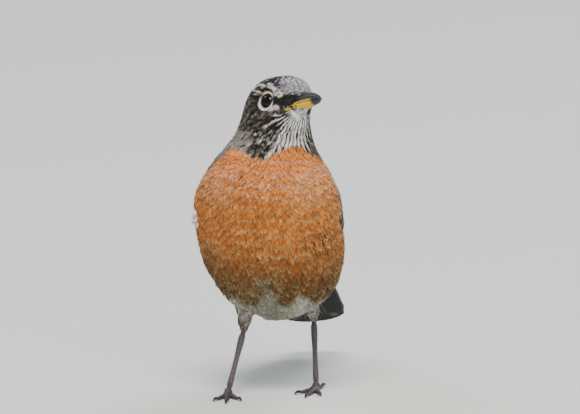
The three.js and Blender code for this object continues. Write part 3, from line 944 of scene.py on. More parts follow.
def layBlades(shape, knots, normals, half, knobs):
    # vertex places of blades on their centre lines
    across, along, face = shape["co"].T
    count = len(knots)
    u = np.tile(along, (count, 1))
    x = np.tile(across, (count, 1))
    end = (along > 0.99) & (np.abs(across) < 0.99)
    u = u + np.where(end, rng.normal(0, knobs["ragged"], u.shape), 0) - 0.1 * x ** 2 * (u > 0.99)
    u = np.clip(u, 0, 1.04)
    centre, way = alongLine(knots, u)
    normal = unit(np.einsum("fvk,fkc->fvc", np.stack([1 - u, 0 * u, u], -1), normals))
    side = unit(np.cross(way, normal))
    width = half[:, None] * (vaneWidth(u) * (1 - 0.42 * ease(0.8, 1.02, u)))
    lift = face * knobs["thick"] - knobs["camber"] * x ** 2 * width
    places = centre + side * (x * width)[..., None] + normal * lift[..., None]
    return places, x, u


def plumeColours(tones, x, u, knobs):
    # colour over each blade, and the tones its barbs take
    base, edge, amount = tones
    pick = rng.random(len(base)) < knobs["salt"]
    amount = np.clip(amount * np.where(pick, 1 + knobs["pepper"], 1 - knobs["pepper"]), 0, 1)
    dim = 0.5 * knobs["pepper"] * ~pick * rng.random(len(base)) * ease(0.6, 0.3, base.mean(1))
    base = base * (1 - dim)[:, None]
    reach = np.hypot(x * 0.95, np.clip((u - 0.5) / 0.5, 0, 1.05))
    colour = mix(base[:, None], edge[:, None], ease(knobs["rim"], 1.02, reach) * amount[:, None] * knobs["quiet"])
    centre = knobs["centre"] * ease(0.5, 0.0, np.abs(x)) * ease(0.3, 0.7, u) * ease(0.6, 0.3, base.mean(1))[:, None]
    colour = colour * (1 - centre)[..., None]
    return mix(colour, base[:, None] * 0.55, ease(0.5, 0.1, u) * 0.6), base, edge, amount


def shaftMark(p):
    # how strongly a feather shows a dark streak along its shaft: on the flanks, in rows
    x, y, z = p.T
    region = 1.3 * bump(x, 28, 8) * bump(z, 78, 8) + 0.5 * bump(x, -29, 6) * bump(z, 68, 10)
    return region * (rng.random(len(p)) < 0.6) * ease(-12, -18, y)


def layBarbs(place, way, normal, length, radius, sag, flat=1.0):
    # vertex places of single barbs; arrays of one row per barb
    a, b, along = barb["co"].T
    side = np.cross(way, normal)
    r = radius[:, None] * 1.15
    across = (b * r)[..., None] * side[:, None]
    up = (a * r * flat)[..., None] * normal[:, None]
    run = (along * length[:, None])[..., None] * way[:, None]
    drop = (sag[:, None] * along ** 2)[..., None] * normal[:, None]
    return place[:, None] + run + across + up - drop


# packing and half are the spacing and the half width over a feather's length, rise the tip's height over the coat
tracts = {
    "face": {"packing": 0.36, "half": 0.24, "rise": 0.85, "thick": 0.04, "camber": 0.1, "ragged": 0.04,
             "jitter": 0.12, "tufts": 2, "barbs": 3, "barbLength": 0.7, "barbWidth": 0.085, "locks": 0.6,
             "rim": 0.25, "centre": 0.25, "salt": 0.5, "pepper": 0.85, "quiet": 1.0, "fine": 0.8, "shaft": 0.0},
    "throat": {"packing": 0.29, "half": 0.15, "rise": 0.95, "thick": 0.04, "camber": 0.12, "ragged": 0.05,
               "jitter": 0.06, "tufts": 3, "barbs": 3, "barbLength": 0.6, "barbWidth": 0.07, "locks": 0.5,
               "rim": 0.75, "centre": 0.0, "salt": 0.3, "pepper": 0.3, "quiet": 1.0, "fine": 0.95, "shaft": 0.0},
    "neck": {"packing": 0.3, "half": 0.25, "rise": 1.0, "thick": 0.04, "camber": 0.1, "ragged": 0.04,
             "jitter": 0.1, "tufts": 6, "barbs": 4, "barbLength": 0.5, "barbWidth": 0.08, "locks": 0.6,
             "rim": 0.5, "centre": 0.1, "salt": 0.4, "pepper": 0.5, "quiet": 0.8, "fine": 0.6, "shaft": 0.0},
    "body": {"packing": 0.28, "half": 0.26, "rise": 1.0, "thick": 0.03, "camber": 0.05, "ragged": 0.03,
             "jitter": 0.07, "tufts": 9, "barbs": 4, "barbLength": 0.45, "barbWidth": 0.1, "locks": 0.6,
             "rim": 0.5, "centre": 0.0, "salt": 0.4, "pepper": 0.5, "quiet": 0.4, "fine": 0.0, "shaft": 1.0},
    "leg": {"packing": 0.3, "half": 0.26, "rise": 0.95, "thick": 0.04, "camber": 0.12, "ragged": 0.03,
            "jitter": 0.12, "tufts": 5, "barbs": 4, "barbLength": 0.5, "barbWidth": 0.08, "locks": 0.5,
            "rim": 0.4, "centre": 0.1, "salt": 0.4, "pepper": 0.6, "quiet": 0.9, "fine": 0.55, "shaft": 0.0},
}


def bakePatch(uv, x, u):
    # a patch about 0.003 across at the root's place
    x, u = np.broadcast_arrays(x, u)
    return uv[:, None] + np.stack([x * 0.0014, (u - 0.5) * 0.0028], -1)


barbsPerPiece = 30000


def growFeathers(name, knots, normals, size, uv, knobs, tones=None):
    # blades on their centre lines, then the barbs that break up each one's outer half and tip
    count = len(knots)
    shape = smallBlade if knobs["barbs"] < 4 else blade
    places, x, u = layBlades(shape, knots, normals, size * knobs["half"], knobs)
    if tones is None:
        tones = markings(alongLine(knots, np.full((count, 1), 0.8))[0][:, 0], rng.random(count))
    colour, base, edge, amount = plumeColours(tones, x, u, knobs)
    seen = alongLine(knots, np.full((count, 1), 0.75))[0][:, 0]
    marked = knobs["shaft"] * np.minimum(shaftMark(seen), 1)
    shaft = marked[:, None] * ease(0.4, 0.12, np.abs(x)) * ease(0.3, 0.5, u)
    colour = mix(colour, plumage["streak"], shaft)
    if knobs["fine"]:  # thin marks run on from one feather to the next
        own = markings(places.reshape(-1, 3), np.full(x.size, 0.5))[0].reshape(places.shape)
        colour = mix(colour, own, knobs["fine"])
    vane = np.stack([x, u, np.repeat(rng.random((count, 1)), x.shape[1], 1)], -1)
    vanes = joinCopies(name + "Vanes", shape, places, colour, vane, bakePatch(uv, x, u), contourPlume)

    # each blade's barbs grow in tufts; bx and bu are the places of their roots across and along it
    owner = np.repeat(np.arange(count), knobs["tufts"])
    tx = rng.uniform(-0.85, 0.85, len(owner))
    tu = rng.uniform(0.5, 0.97, len(owner)) - 0.12 * tx ** 2
    owner = np.repeat(owner, knobs["barbs"])
    bx = np.clip(np.repeat(tx, knobs["barbs"]) + rng.normal(0, 0.16, len(owner)), -0.95, 0.95)
    bu = np.clip(np.repeat(tu, knobs["barbs"]) + rng.normal(0, 0.05, len(owner)), 0.3, 1.0)
    centre, way = alongLine(knots[owner], bu[:, None])
    normal = unit(normals[owner, 0] * (1 - bu[:, None]) + normals[owner, 2] * bu[:, None])
    way = unit(way[:, 0])
    side = unit(np.cross(way, normal))
    width = size[owner] * knobs["half"] * vaneWidth(bu)
    start = centre[:, 0] + side * (bx * width)[:, None]
    start = start + normal * (knobs["thick"] * 0.6 - knobs["camber"] * bx ** 2 * width)[:, None]
    splay = np.radians(bx * 22 + rng.normal(0, 8, len(owner))) * (1 - 0.6 * knobs["fine"])
    heading = way * np.cos(splay)[:, None] + side * np.sin(splay)[:, None]
    heading = unit(heading + normal * rng.normal(0.02, 0.04, len(owner))[:, None])
    length = size[owner] * knobs["barbLength"] * rng.uniform(0.65, 1.15, len(owner)) * (1 - 0.35 * bu)
    lock = rng.random(len(owner)) < knobs["locks"]
    radius = knobs["barbWidth"] * np.where(lock, 1.0, 0.45) * rng.uniform(0.75, 1.25, len(owner))
    hair = layBarbs(start, heading, normal, length, radius, length * 0.09, 0.5)
    along = np.tile(barb["co"][:, 2], (len(owner), 1))
    endU = bu[:, None] + along * (length / size[owner])[:, None]
    endX = bx[:, None] + np.sin(splay)[:, None] * along * 0.3
    reach = np.hypot(endX * 0.9, np.clip((endU - 0.5) / 0.5, 0, 1.2))
    rim = np.clip(ease(knobs["rim"], 1.05, reach) + 0.35 * ease(0.4, 1, along), 0, 1)
    share = np.clip(rim * (amount[owner] * 4.0 * rng.random(len(owner)) ** 2)[:, None], 0, 1)
    tone = rng.uniform(0.66, 1.16, len(owner))
    hairColour = mix(base[owner][:, None], edge[owner][:, None], share) * tone[:, None, None]
    dark = (marked[owner] * ease(0.5, 0.3, np.abs(bx)))[:, None]
    hairColour = mix(hairColour, plumage["streak"], dark)
    if knobs["fine"]:
        own = markings(start + heading * (length * 0.5)[:, None], np.full(len(owner), 0.5))[0]
        hairColour = mix(hairColour, own[:, None] * tone[:, None, None], knobs["fine"])
    hairVane = np.stack([0 * along, along, np.repeat(rng.random((len(owner), 1)), along.shape[1], 1)], -1)
    patch = bakePatch(uv[owner], bx[:, None], np.clip(endU, 0, 1))
    pieces = max(1, math.ceil(len(owner) / barbsPerPiece))
    for i in range(pieces):
        cut = slice(i * len(owner) // pieces, (i + 1) * len(owner) // pieces)
        part = joinCopies(f"{name}Barbs{i + 1}", barb, hair[cut], hairColour[cut], hairVane[cut], patch[cut],
                          hairPlume)
    print(name, "feathers:", count, "barbs:", len(owner))


def growTract(name, keep, knobs):
    root = scatterRoots(keep, knobs["packing"])
    size = featherSize(root) * (1 + rng.normal(0, 0.06, len(root)))
    knots, normals, uv = centreLine(root, size, knobs["rise"], knobs["jitter"])
    growFeathers(name, knots, normals, size, uv, knobs)


# the heights where the neck's feathers give way to the breast's, and the breast's to the belly's
neckEnd, breastEnd = 117, 84


def isHead(p):
    return headShare(p) > 0.5


def isThroat(p):
    f, l, u = toHead(p)
    return isHead(p) & (u < -7) & (f > -9 - 0.2 * u)


def isNeck(p):
    return ~isHead(p) & (p[:, 2] > neckEnd)


def isFront(p):
    return dorsalHeight(p) < 2


def isLeg(p):
    return legShare(p)[0] > 0.45


def openFace(p):
    # everywhere but under the eyes and the bill's root
    r = eyePolar(p)[0]
    f, l, u = toHead(p)
    bill = (f > 9.0) & (np.abs(l) < 5.6 - 0.25 * (f - 9)) & (u < 1.9) & (u > -7.6)
    corner = segmentMark(f, u, (13.0, -5.2), (8.9, -6.2), 1.9) > 0.5
    return (r > 3.8) & ~bill & ~(corner & (np.abs(l) > 4))


def alongBill(table, f):
    return np.interp(f, table[:, 0], table[:, 1])


def billCollar(count, limits, below):
    # places round the bill's root, the way out of it, and the turn round it from -1 to 1
    # limits are how far ahead the middle and the sides reach, and how fast one becomes the other
    turn = rng.uniform(-1, 1, count)
    most = limits[0] + (limits[1] - limits[0]) * np.abs(turn) ** limits[2]
    f = billRoot["start"] + (most - billRoot["start"]) * rng.random(count) ** 0.8
    flat = alongBill(tomium, f) + (-0.4 if below else 0.5)
    arch = alongBill(billKeel if below else billRidge, f)
    half = alongBill(billHalf, f)
    a = turn * 1.42
    l = half * np.sin(a)
    u = flat + (arch - flat) * np.cos(a) ** 0.8
    place = headMiddle + f[:, None] * ahead + l[:, None] * left + u[:, None] * over
    normal = left * np.sin(a)[:, None] + over * (np.cos(a) * np.sign(arch - flat))[:, None] + ahead * 0.15
    return place, unit(normal), turn


def plainTones(count, base, edge, amount):
    # one base colour, fringe and fringe strength for every feather
    return np.tile(base, (count, 1)), np.tile(edge, (count, 1)), np.full(count, amount)


def growCollar(name, knobs, below):
    place, normal, turn = billCollar(knobs["count"], knobs["limits"], below)
    back = ease(16, 9, toHead(place)[0])
    rise = -0.3 - 0.5 * back if below else np.full(len(place), 0.3)
    stray = rng.normal(0, 0.1, place.shape)
    way = unit(-ahead + over * rise[:, None] + left * (turn * 0.35)[:, None] + stray)
    way = unit(way - normal * (dot(way, normal) * (0.4 if below else 1))[:, None])
    length = knobs["length"] * rng.uniform(0.75, 1.2, len(place)) * (1 + 0.5 * back * below)
    lift = knobs["lift"] * rng.uniform(0.7, 1.2, (len(place), 1))
    knots = np.stack([place - normal * 0.1, place + way * length[:, None] * 0.5 + normal * lift * 0.8,
                      place + way * length[:, None] + normal * lift], 1)
    tones = None
    if "tones" in knobs:
        pale, dark = knobs["tones"]
        base, edge, amount = plainTones(len(place), pale, pale, 0.4)
        tones = (np.where(rng.random((len(place), 1)) < 0.2, dark, base), edge, amount)
    growFeathers(name, knots, np.repeat(normal[:, None], 3, 1), length, nearSkin(place)[2], tracts["face"],
                 tones)


# small feathers that close round the bill, below it and above it
billRoot = {
    "start": 8.6,
    "chin": {"count": 520, "limits": (20.5, 11.5, 1.5), "length": 2.8, "lift": 0.3,
             "tones": (mix(plumage["cream"], plumage["white"], 0.85), plumage["cheek"])},
    "lore": {"count": 620, "limits": (15.6, 18.5, 1.0), "length": 2.2, "lift": 0.3},
}
growCollar("chin", billRoot["chin"], True)
growCollar("lore", billRoot["lore"], False)
growTract("face", lambda p: isHead(p) & ~isThroat(p) & openFace(p), tracts["face"])
growTract("throat", lambda p: isThroat(p) & openFace(p), tracts["throat"])
growTract("neck", lambda p: isNeck(p) & ~isLeg(p), tracts["neck"])
growTract("breast", lambda p: ~isHead(p) & ~isNeck(p) & (p[:, 2] > breastEnd) & isFront(p), tracts["body"])
growTract("belly", lambda p: (p[:, 2] <= breastEnd) & isFront(p) & ~isLeg(p), tracts["body"])
growTract("back", lambda p: ~isHead(p) & ~isNeck(p) & ~isFront(p) & ~isLeg(p), tracts["body"])
growTract("leg", isLeg, tracts["leg"])

# feathers over the heels: span and reach run along each leg from its ankle, girth is the sleeve's radius there
cuff = {"count": 190, "span": (-11.5, -4.6), "length": 4.6,
        "girth": [(-12, 3.5), (-9, 3.4), (-6.5, 3.3), (-4.4, 2.8), (-2.8, 1.9), (-1.6, 1.4), (0, 1.3)],
        "reach": {"left": -1.2, "right": -1.8}}


def growCuff(name, hip, ankle, foot, c):
    thighWay, shankWay = unit(ankle - hip), unit(foot - ankle)
    side = unit(np.cross(thighWay, [0, 1, 0]))
    front = np.cross(side, thighWay)
    s = rng.uniform(*c["span"], c["count"])
    turn = rng.uniform(0, 2 * math.pi, c["count"])
    length = c["length"] * rng.uniform(0.85, 1.1, c["count"])
    out = side * np.cos(turn)[:, None] + front * np.sin(turn)[:, None]
    knots = []
    for part, lift in ((0, -0.5), (0.5, -0.05), (1, 0.2)):
        at = np.minimum(s + length * part, c["reach"][name])
        middle = ankle + thighWay * np.minimum(at, 0)[:, None] + shankWay * np.maximum(at, 0)[:, None]
        knots.append(middle + out * (np.interp(at, *zip(*c["girth"])) + lift)[:, None])
    tones = plainTones(c["count"], plumage["thigh"], plumage["thighEdge"], 0.5)
    growFeathers(name + "Cuff", np.stack(knots, 1), np.repeat(out[:, None], 3, 1), length, nearSkin(knots[0])[2],
                 tracts["leg"], tones)


# ankle and foot of each leg
shanks = {"left": ((16.8, -14.8, 33.0), (19.8, -24.8, 2.6)), "right": ((-14.5, -34.8, 30.0), (-19.2, -49.2, 2.6))}
for name in ("left", "right"):
    growCuff(name, legAxes[name][0], *[np.array(q) for q in shanks[name]], cuff)

# a pale tuft at the breast's right edge
tuft = {"root": (-32.0, -53.0, 91.5), "spread": (0.8, 2.2, 3.4), "way": (-0.46, 0.2, -0.86), "length": 5.4,
        "count": 44}


def growTuft(t):
    root = np.array(t["root"]) + rng.normal(0, 0.5, (t["count"], 3)) * t["spread"]
    place, normal, uv = nearSkin(root)
    way = unit(np.array(t["way"]) + rng.normal(0, 0.12, (t["count"], 3)))
    length = t["length"] * rng.uniform(0.7, 1.1, t["count"])
    start = place + normal * 1.2
    knots = np.stack([start, start + way * length[:, None] * 0.5, start + way * length[:, None]], 1)
    tones = plainTones(t["count"], plumage["white"], plumage["cream"], 0.3)
    growFeathers("tuft", knots, np.repeat(normal[:, None], 3, 1), length, uv, dict(tracts["leg"], fine=0.0),
                 tones)


growTuft(tuft)

# eyes and lids

eyeLook = {"iris": (0.022, 0.010, 0.006), "pupil": (0.004, 0.004, 0.005), "pupilAngle": 29, "irisAngle": 44}
lidRing = {"steps": 48, "stretch": 1.02, "level": 3.45, "dark": paint(30, 25, 23),
           "section": [(3.38, 0.12), (3.48, 0.26), (3.66, 0.32), (3.9, 0.24), (4.2, 0.0), (4.6, -0.5), (4.7, -1.1),
                       (3.8, -0.9), (3.25, -0.2)]}


def eyeMatrix(side, level):
    middle, way = eyePlace(side)
    z = Vector(way)
    x = Vector(ahead - way * (ahead @ way)).normalized()
    turned = Matrix((x, z.cross(x), z)).transposed().to_4x4()
    turned.translation = Vector(middle + way * level)
    return turned


def makeEyeMaterial(look):
    material, tree, shader = newMaterial("eyeGloss", Roughness=0.05, IOR=1.3)
    angle = attributeNode(tree, "fromAxis")
    ramp = tree.nodes.new("ShaderNodeValToRGB")
    pupil, iris = ramp.color_ramp.elements
    pupil.position = look["pupilAngle"] / 90
    pupil.color = (*look["pupil"], 1)
    iris.position = look["pupilAngle"] / 90 + 0.02
    iris.color = (*look["iris"], 1)
    rim = ramp.color_ramp.elements.new(look["irisAngle"] / 90)
    rim.color = (*[0.4 * c for c in look["iris"]], 1)
    wire(tree, (angle.outputs["Fac"], ramp.inputs["Fac"]), (ramp.outputs["Color"], shader.inputs["Base Color"]))
    return material


def makeEye(name, side, material):
    bm = bmesh.new()
    bmesh.ops.create_uvsphere(bm, u_segments=56, v_segments=40, radius=eyeball["radius"])
    for v in bm.verts:  # the cornea stands a little prouder than the ball
        angle = math.degrees(v.co.angle(Vector((0, 0, 1))))
        v.co *= 1 + 0.035 * max(0, 1 - (angle / eyeLook["irisAngle"]) ** 2)
    bmesh.ops.transform(bm, verts=bm.verts, matrix=eyeMatrix(side, 0))
    bmesh.ops.scale(bm, verts=bm.verts, vec=(mm, mm, mm))
    mesh = meshFrom(bm, name)
    smoothShade(mesh)
    middle, way = eyePlace(side)
    angle = np.arccos(np.clip(unit(pointsOf(mesh) - middle) @ way, -1, 1))
    setValue(mesh, "fromAxis", np.degrees(angle) / 90)
    eye = addPiece(name, mesh, material)
    return eye


def makeLid(name, side, ring, material):
    bm = bmesh.new()
    verts = [bm.verts.new((r, 0, h)) for r, h in ring["section"]]
    edges = [bm.edges.new((verts[i - 1], v)) for i, v in enumerate(verts)]
    bmesh.ops.spin(bm, geom=verts + edges, cent=(0, 0, 0), axis=(0, 0, 1), angle=2 * math.pi, steps=ring["steps"],
                   use_merge=True)
    bmesh.ops.remove_doubles(bm, verts=bm.verts, dist=1e-4)
    bmesh.ops.recalc_face_normals(bm, faces=bm.faces)
    bmesh.ops.scale(bm, verts=bm.verts, vec=(ring["stretch"], 1 / ring["stretch"] ** 0.5, 1))
    bmesh.ops.transform(bm, verts=bm.verts, matrix=eyeMatrix(side, ring["level"]))
    bmesh.ops.scale(bm, verts=bm.verts, vec=(mm, mm, mm))
    mesh = meshFrom(bm, name)
    smoothShade(mesh)
    co = pointsOf(mesh)
    base = markings(co, np.full(len(co), 0.5))[0]
    setColour(mesh, "plume", mix(ring["dark"], base, ease(3.62, 3.86, eyePolar(co)[0])))
    lid = addPiece(name, mesh, material)


eyeGloss = makeEyeMaterial(eyeLook)
lidSkin = makeDownMaterial("lidSkin", 2600.0, Roughness=0.55)
for name, side in (("left", 1), ("right", -1)):
    eye = makeEye("eye_" + name + "_ball", side, eyeGloss)
    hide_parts("eye_" + name)
    makeLid("lid_" + name, side, lidRing, lidSkin)
print("eyes and lids ready")


# bill

# ridge is a painted highlight along the top of the bill
billLook = {"voxel": 0.24, "swell": 0.0, "rounds": 3, "yellow": paint(206, 164, 24),
            "pale": paint(224, 194, 74), "horn": paint(20, 18, 18), "ridge": paint(176, 178, 196),
            "smut": paint(70, 44, 26),
            "nostril": {"ahead": 19.0, "up": -0.2, "long": 1.5, "high": 0.4, "deep": 0.55}}


def billColours(co, look, upper):
    f, l, u = toHead(co)
    above = u - alongBill(tomium, f)
    lumps = cloud(co, 1.1, 4.4)
    fine = cloud(co, 0.5, 8.1)
    band = np.interp(f, [7, 14, 20, 25], [0.5, 0.8, 0.7, 0.9]) if upper else np.full(len(f), 9.0)
    tipEnd = ease(26.4, 23.6, f + 0.35 * above + 1.2 * (lumps - 0.5))
    yellow = ease(0.35, -0.35, above - band + 0.5 * (lumps - 0.5)) * tipEnd
    # painted highlight: a pale bluish band along the ridge of the upper mandible, and a faint mottle of the same pale
    # colour over the horn
    colour = mix(look["horn"], look["ridge"], 0.8 * ease(0.6, 0.1, np.abs(l)) * upper)
    colour = mix(colour, look["ridge"], 0.1 * fine)
    warm = mix(look["yellow"], look["pale"], 0.5 * fine)
    if not upper:
        smut = ease(0.5, 0.68, lumps) * ease(17, 11, f) * ease(-0.6, -2.2, above)
        warm = mix(warm, look["smut"], 0.85 * smut)
        warm = mix(warm, look["smut"], 0.35 * ease(0.9, 0.1, np.abs(above)) * ease(9, 20, f))
    else:
        warm = mix(warm, look["smut"], 0.5 * ease(0.35, 0.0, np.abs(above - band)))
    return mix(colour, warm, yellow)


def makeBillMaterial():
    material, tree, shader = newMaterial("billHorn", Roughness=0.34, Specular_IOR_Level=0.32, Coat_Weight=0.1,
                                         Coat_Roughness=0.25)
    colour = attributeNode(tree, "horn")
    mottle = placeMottle(tree, 1500.0, 0.82, 1.12)
    rough = mathNode(tree, "MULTIPLY_ADD", mottle.outputs["Height"], 0.2, 0.3)
    wire(tree, (rough, shader.inputs["Roughness"]))
    toned = tinted(tree, colour.outputs["Color"], mottle.outputs["Tone"])
    finishSurface(tree, shader, toned, mottle.outputs["Height"], 0.25, 0.1 * mm)
    return material


def makeBill(look, material):
    for part, upper in (("bill_upper", True), ("bill_lower", False)):
        mesh = meltedCopy(part + "_horn", (part,), look)
        co = pointsOf(mesh)
        f, l, u = toHead(co)
        if upper:
            n = look["nostril"]
            slit = bump(f, n["ahead"], n["long"]) * bump(u + 0.12 * (f - n["ahead"]), n["up"], n["high"])
            slit = slit * ease(1.0, 2.0, np.abs(l))
            co = co - normalsOf(mesh) * (slit * n["deep"])[:, None]
            setPoints(mesh, co)
        colour = billColours(co, look, upper)
        if upper:
            colour = mix(colour, look["horn"] * 0.3, slit)
        setColour(mesh, "horn", colour)
        smoothShade(mesh)
        piece = addPiece(part + "_horn", mesh, material)
        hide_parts(part)


billHorn = makeBillMaterial()
makeBill(billLook, billHorn)

# the soft corner of the mouth: places ahead, to the side and up, and the fold's half width at each
gape = {"path": [(16.8, 3.7, -4.5), (13.0, 5.2, -5.2), (11.0, 6.5, -5.8), (8.7, 7.9, -6.1)],
        "wide": (0.5, 1.2, 1.3, 0.25), "sides": 12, "steps": 18}


def makeGape(name, side, g, material):
    path = np.array([inHead(f, side * l, u) for f, l, u in g["path"]])
    bm = bmesh.new()
    bmesh.ops.create_cone(bm, cap_ends=True, segments=g["sides"], radius1=1, radius2=1, depth=1)
    every = bm.verts[:] + bm.edges[:] + bm.faces[:]
    bmesh.ops.bisect_plane(bm, geom=every, plane_co=(0, 0, 0), plane_no=(0, 0, 1))
    tall = [e for e in bm.edges if abs(e.verts[0].co.z - e.verts[1].co.z) > 0.4]
    bmesh.ops.subdivide_edges(bm, edges=tall, cuts=g["steps"] // 2, use_grid_fill=True)
    at = np.linspace(0, 1, len(path))
    for v in bm.verts:
        t = v.co.z + 0.5
        middle = np.array([np.interp(t, at, path[:, i]) for i in range(3)])
        wide = np.interp(t, at, g["wide"]) * (1 if side < 0 else 0.6)
        middle = middle - left * (0.5 if side > 0 else 0)
        middle = middle + over * (v.co.x * wide) + left * (side * v.co.y * wide * 0.45)
        v.co = Vector(middle * mm)
    bmesh.ops.recalc_face_normals(bm, faces=bm.faces)
    mesh = meshFrom(bm, name)
    smoothShade(mesh)
    co = pointsOf(mesh)
    lumps = cloud(co, 0.9, 5.5)
    colour = mix(billLook["yellow"], billLook["smut"] * 0.8, ease(0.52, 0.62, lumps))
    setColour(mesh, "horn", mix(colour, billLook["pale"], 0.3 * ease(0.5, 0.3, lumps)))
    piece = addPiece(name, mesh, material)


for name, side in (("left", 1), ("right", -1)):
    makeGape("gape_" + name, side, gape, billHorn)

# fine bristles from the corners of the mouth; count is for each side
bristles = {"count": 13, "length": (3.5, 7.5), "radius": 0.055, "colour": paint(38, 33, 30)}


def makeBristles(b):
    count = b["count"] * 2
    side = np.where(np.arange(count) % 2, 1.0, -1.0)
    f = rng.uniform(8.0, 10.5, count)
    u = rng.uniform(-8.2, -3.4, count)
    start = np.array([inHead(*q) for q in zip(f, side * rng.uniform(4.4, 5.6, count), u)])
    forward = ahead * rng.uniform(0.9, 1.3, (count, 1))
    outward = left * (side * rng.uniform(0.25, 0.7, count))[:, None]
    way = unit(forward + outward - over * rng.uniform(0.0, 0.5, (count, 1)))
    normal = unit(np.cross(way, unit(np.cross(over, way))))
    length = rng.uniform(*b["length"], count)
    places = layBarbs(start, way, normal, length, np.full(count, b["radius"]), length * 0.12)
    uv = nearSkin(start)[2]
    size = places.shape[1]
    colour = np.tile(b["colour"], (count, size, 1))
    patch = bakePatch(uv, np.zeros((count, size)), 0.5)
    part = joinCopies("bristles", barb, places, colour, np.zeros((count, size, 3)), patch, hairPlume)


makeBristles(bristles)
print("bill ready")


# legs: each tarsus and its toes as one scaled skin, with separate claws

legLook = {"voxel": 0.33, "swell": 0.16, "rounds": 3, "shank": paint(76, 66, 69), "toe": paint(66, 58, 60),
           "pad": paint(116, 100, 84), "scute": 1.25, "rise": 2.0,
           "girth": [(-0.12, 0), (-0.06, 0), (0, 1.2), (0.05, 1.3), (0.13, 1.22), (0.5, 1.05), (0.85, 1.2),
                     (0.93, 1.4), (0.98, 0)]}
clawLook = {"voxel": 0.16, "swell": 0.05, "rounds": 2, "colour": paint(34, 30, 30), "tuck": 1.3}
lowest = 0.03  # no toe or claw comes nearer the ground than this
digits = ("hallux", "inner", "middle", "outer")


def makeLegMaterial(look):
    material, tree, shader = newMaterial("legScale", Roughness=0.5, Specular_IOR_Level=0.45)
    colour = attributeNode(tree, "hide")
    along = attributeNode(tree, "along")
    mottle = placeMottle(tree, 1100.0, 0.75, 1.2)
    phase = mathNode(tree, "MULTIPLY", along.outputs["Fac"], 1 / look["scute"])
    saw = mathNode(tree, "FRACT", mathNode(tree, "MULTIPLY_ADD", mottle.outputs["Height"], 0.25, phase))
    groove = mathNode(tree, "SUBTRACT", 1.0, mathNode(tree, "MULTIPLY", saw, 7.0), clamp=True)
    height = mathNode(tree, "MULTIPLY_ADD", groove, -0.8, mathNode(tree, "MULTIPLY", mottle.outputs["Height"], 0.35))
    tone = mathNode(tree, "MULTIPLY", mottle.outputs["Tone"], mathNode(tree, "MULTIPLY_ADD", groove, -0.4, 1.0))
    finishSurface(tree, shader, tinted(tree, colour.outputs["Color"], tone), height, 0.6, 0.3 * mm)
    return material


def makeClawMaterial(colour):
    material, tree, shader = newMaterial("clawHorn", Roughness=0.3)
    mottle = placeMottle(tree, 1800.0, 0.7, 1.25)
    toned = tree.nodes.new("ShaderNodeVectorMath")
    toned.operation = "SCALE"
    toned.inputs[0].default_value = colour
    wire(tree, (mottle.outputs["Tone"], toned.inputs["Scale"]))
    finishSurface(tree, shader, toned.outputs[0], mottle.outputs["Height"], 0.4, 0.2 * mm)
    return material


def makeLeg(side, look, material):
    parts = ["tarsus_" + side] + [f"toe_{side}_{d}" for d in digits]
    mesh = meltedCopy("leg_" + side, parts, look)
    co = pointsOf(mesh)
    top, foot = shanks[side]
    run = np.array(foot) - top
    t = (co - top) @ run / (run @ run)
    out = co - top - t[:, None] * run
    r = np.linalg.norm(out, axis=1)
    co = co - unit(run) * (look["rise"] * np.clip(1 - t, 0, 1))[:, None]
    least = np.interp(t, *zip(*look["girth"]))
    grow = np.where((r > 0.2) & (r < least) & (t > -0.12), least / np.maximum(r, 0.2), 1)
    co = co + out * (grow - 1)[:, None]
    co[:, 2] = np.maximum(co[:, 2], lowest)
    setPoints(mesh, co)
    spread = np.linalg.norm(co[:, :2] - foot[:2], axis=1)
    low = ease(7, 3, co[:, 2])
    setValue(mesh, "along", co[:, 2] * (1 - low) * 0.55 - spread * low)
    normal = normalsOf(mesh)
    colour = mix(mix(look["shank"], look["toe"], low), look["pad"], 0.6 * ease(-0.3, -0.8, normal[:, 2]) * low)
    # painted highlight: the shank is lighter where it faces either side
    colour = mix(colour, look["shank"] * 2.0, 0.4 * ease(0.3, 0.9, np.abs(normal[:, 0])) * (1 - low))
    setColour(mesh, "hide", colour)
    smoothShade(mesh)
    leg = addPiece("leg_" + side, mesh, material)
    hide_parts("tarsus_" + side, *[f"toe_{side}_{d}" for d in digits])


def makeClaw(digit, look, material):
    # the claw's root is drawn in under the end of its toe
    node = "claw_" + digit
    mesh = meltedCopy(node + "_horn", (node,), look)
    toe = pointsOf(nodes["toe_" + digit].data)
    co = pointsOf(mesh)
    gap = np.linalg.norm(co[:, None] - toe[None], axis=2).min(1)
    co = co + unit(toe.mean(0) - co.mean(0)) * (look["tuck"] * ease(2.4, 0.3, gap))[:, None]
    co[:, 2] = np.maximum(co[:, 2], lowest)
    setPoints(mesh, co)
    smoothShade(mesh)
    claw = addPiece(node + "_horn", mesh, material)
    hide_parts(node)


legScale = makeLegMaterial(legLook)
clawHorn = makeClawMaterial(clawLook["colour"])
for side in ("left", "right"):
    makeLeg(side, legLook, legScale)
    for digit in digits:
        makeClaw(f"{side}_{digit}", clawLook, clawHorn)
print("legs ready")


# flight feathers: long blades on paths of several points

def onPath(path, u):
    # place at u from 0 to 1 on each feather's path
    steps = path.shape[1] - 1
    t = np.clip(u, 0, 1) * steps
    i = np.minimum(t.astype(int), steps - 1)
    t = (t - i)[..., None]
    row = np.arange(len(path))[:, None]
    return path[row, i] * (1 - t) + path[row, i + 1] * t


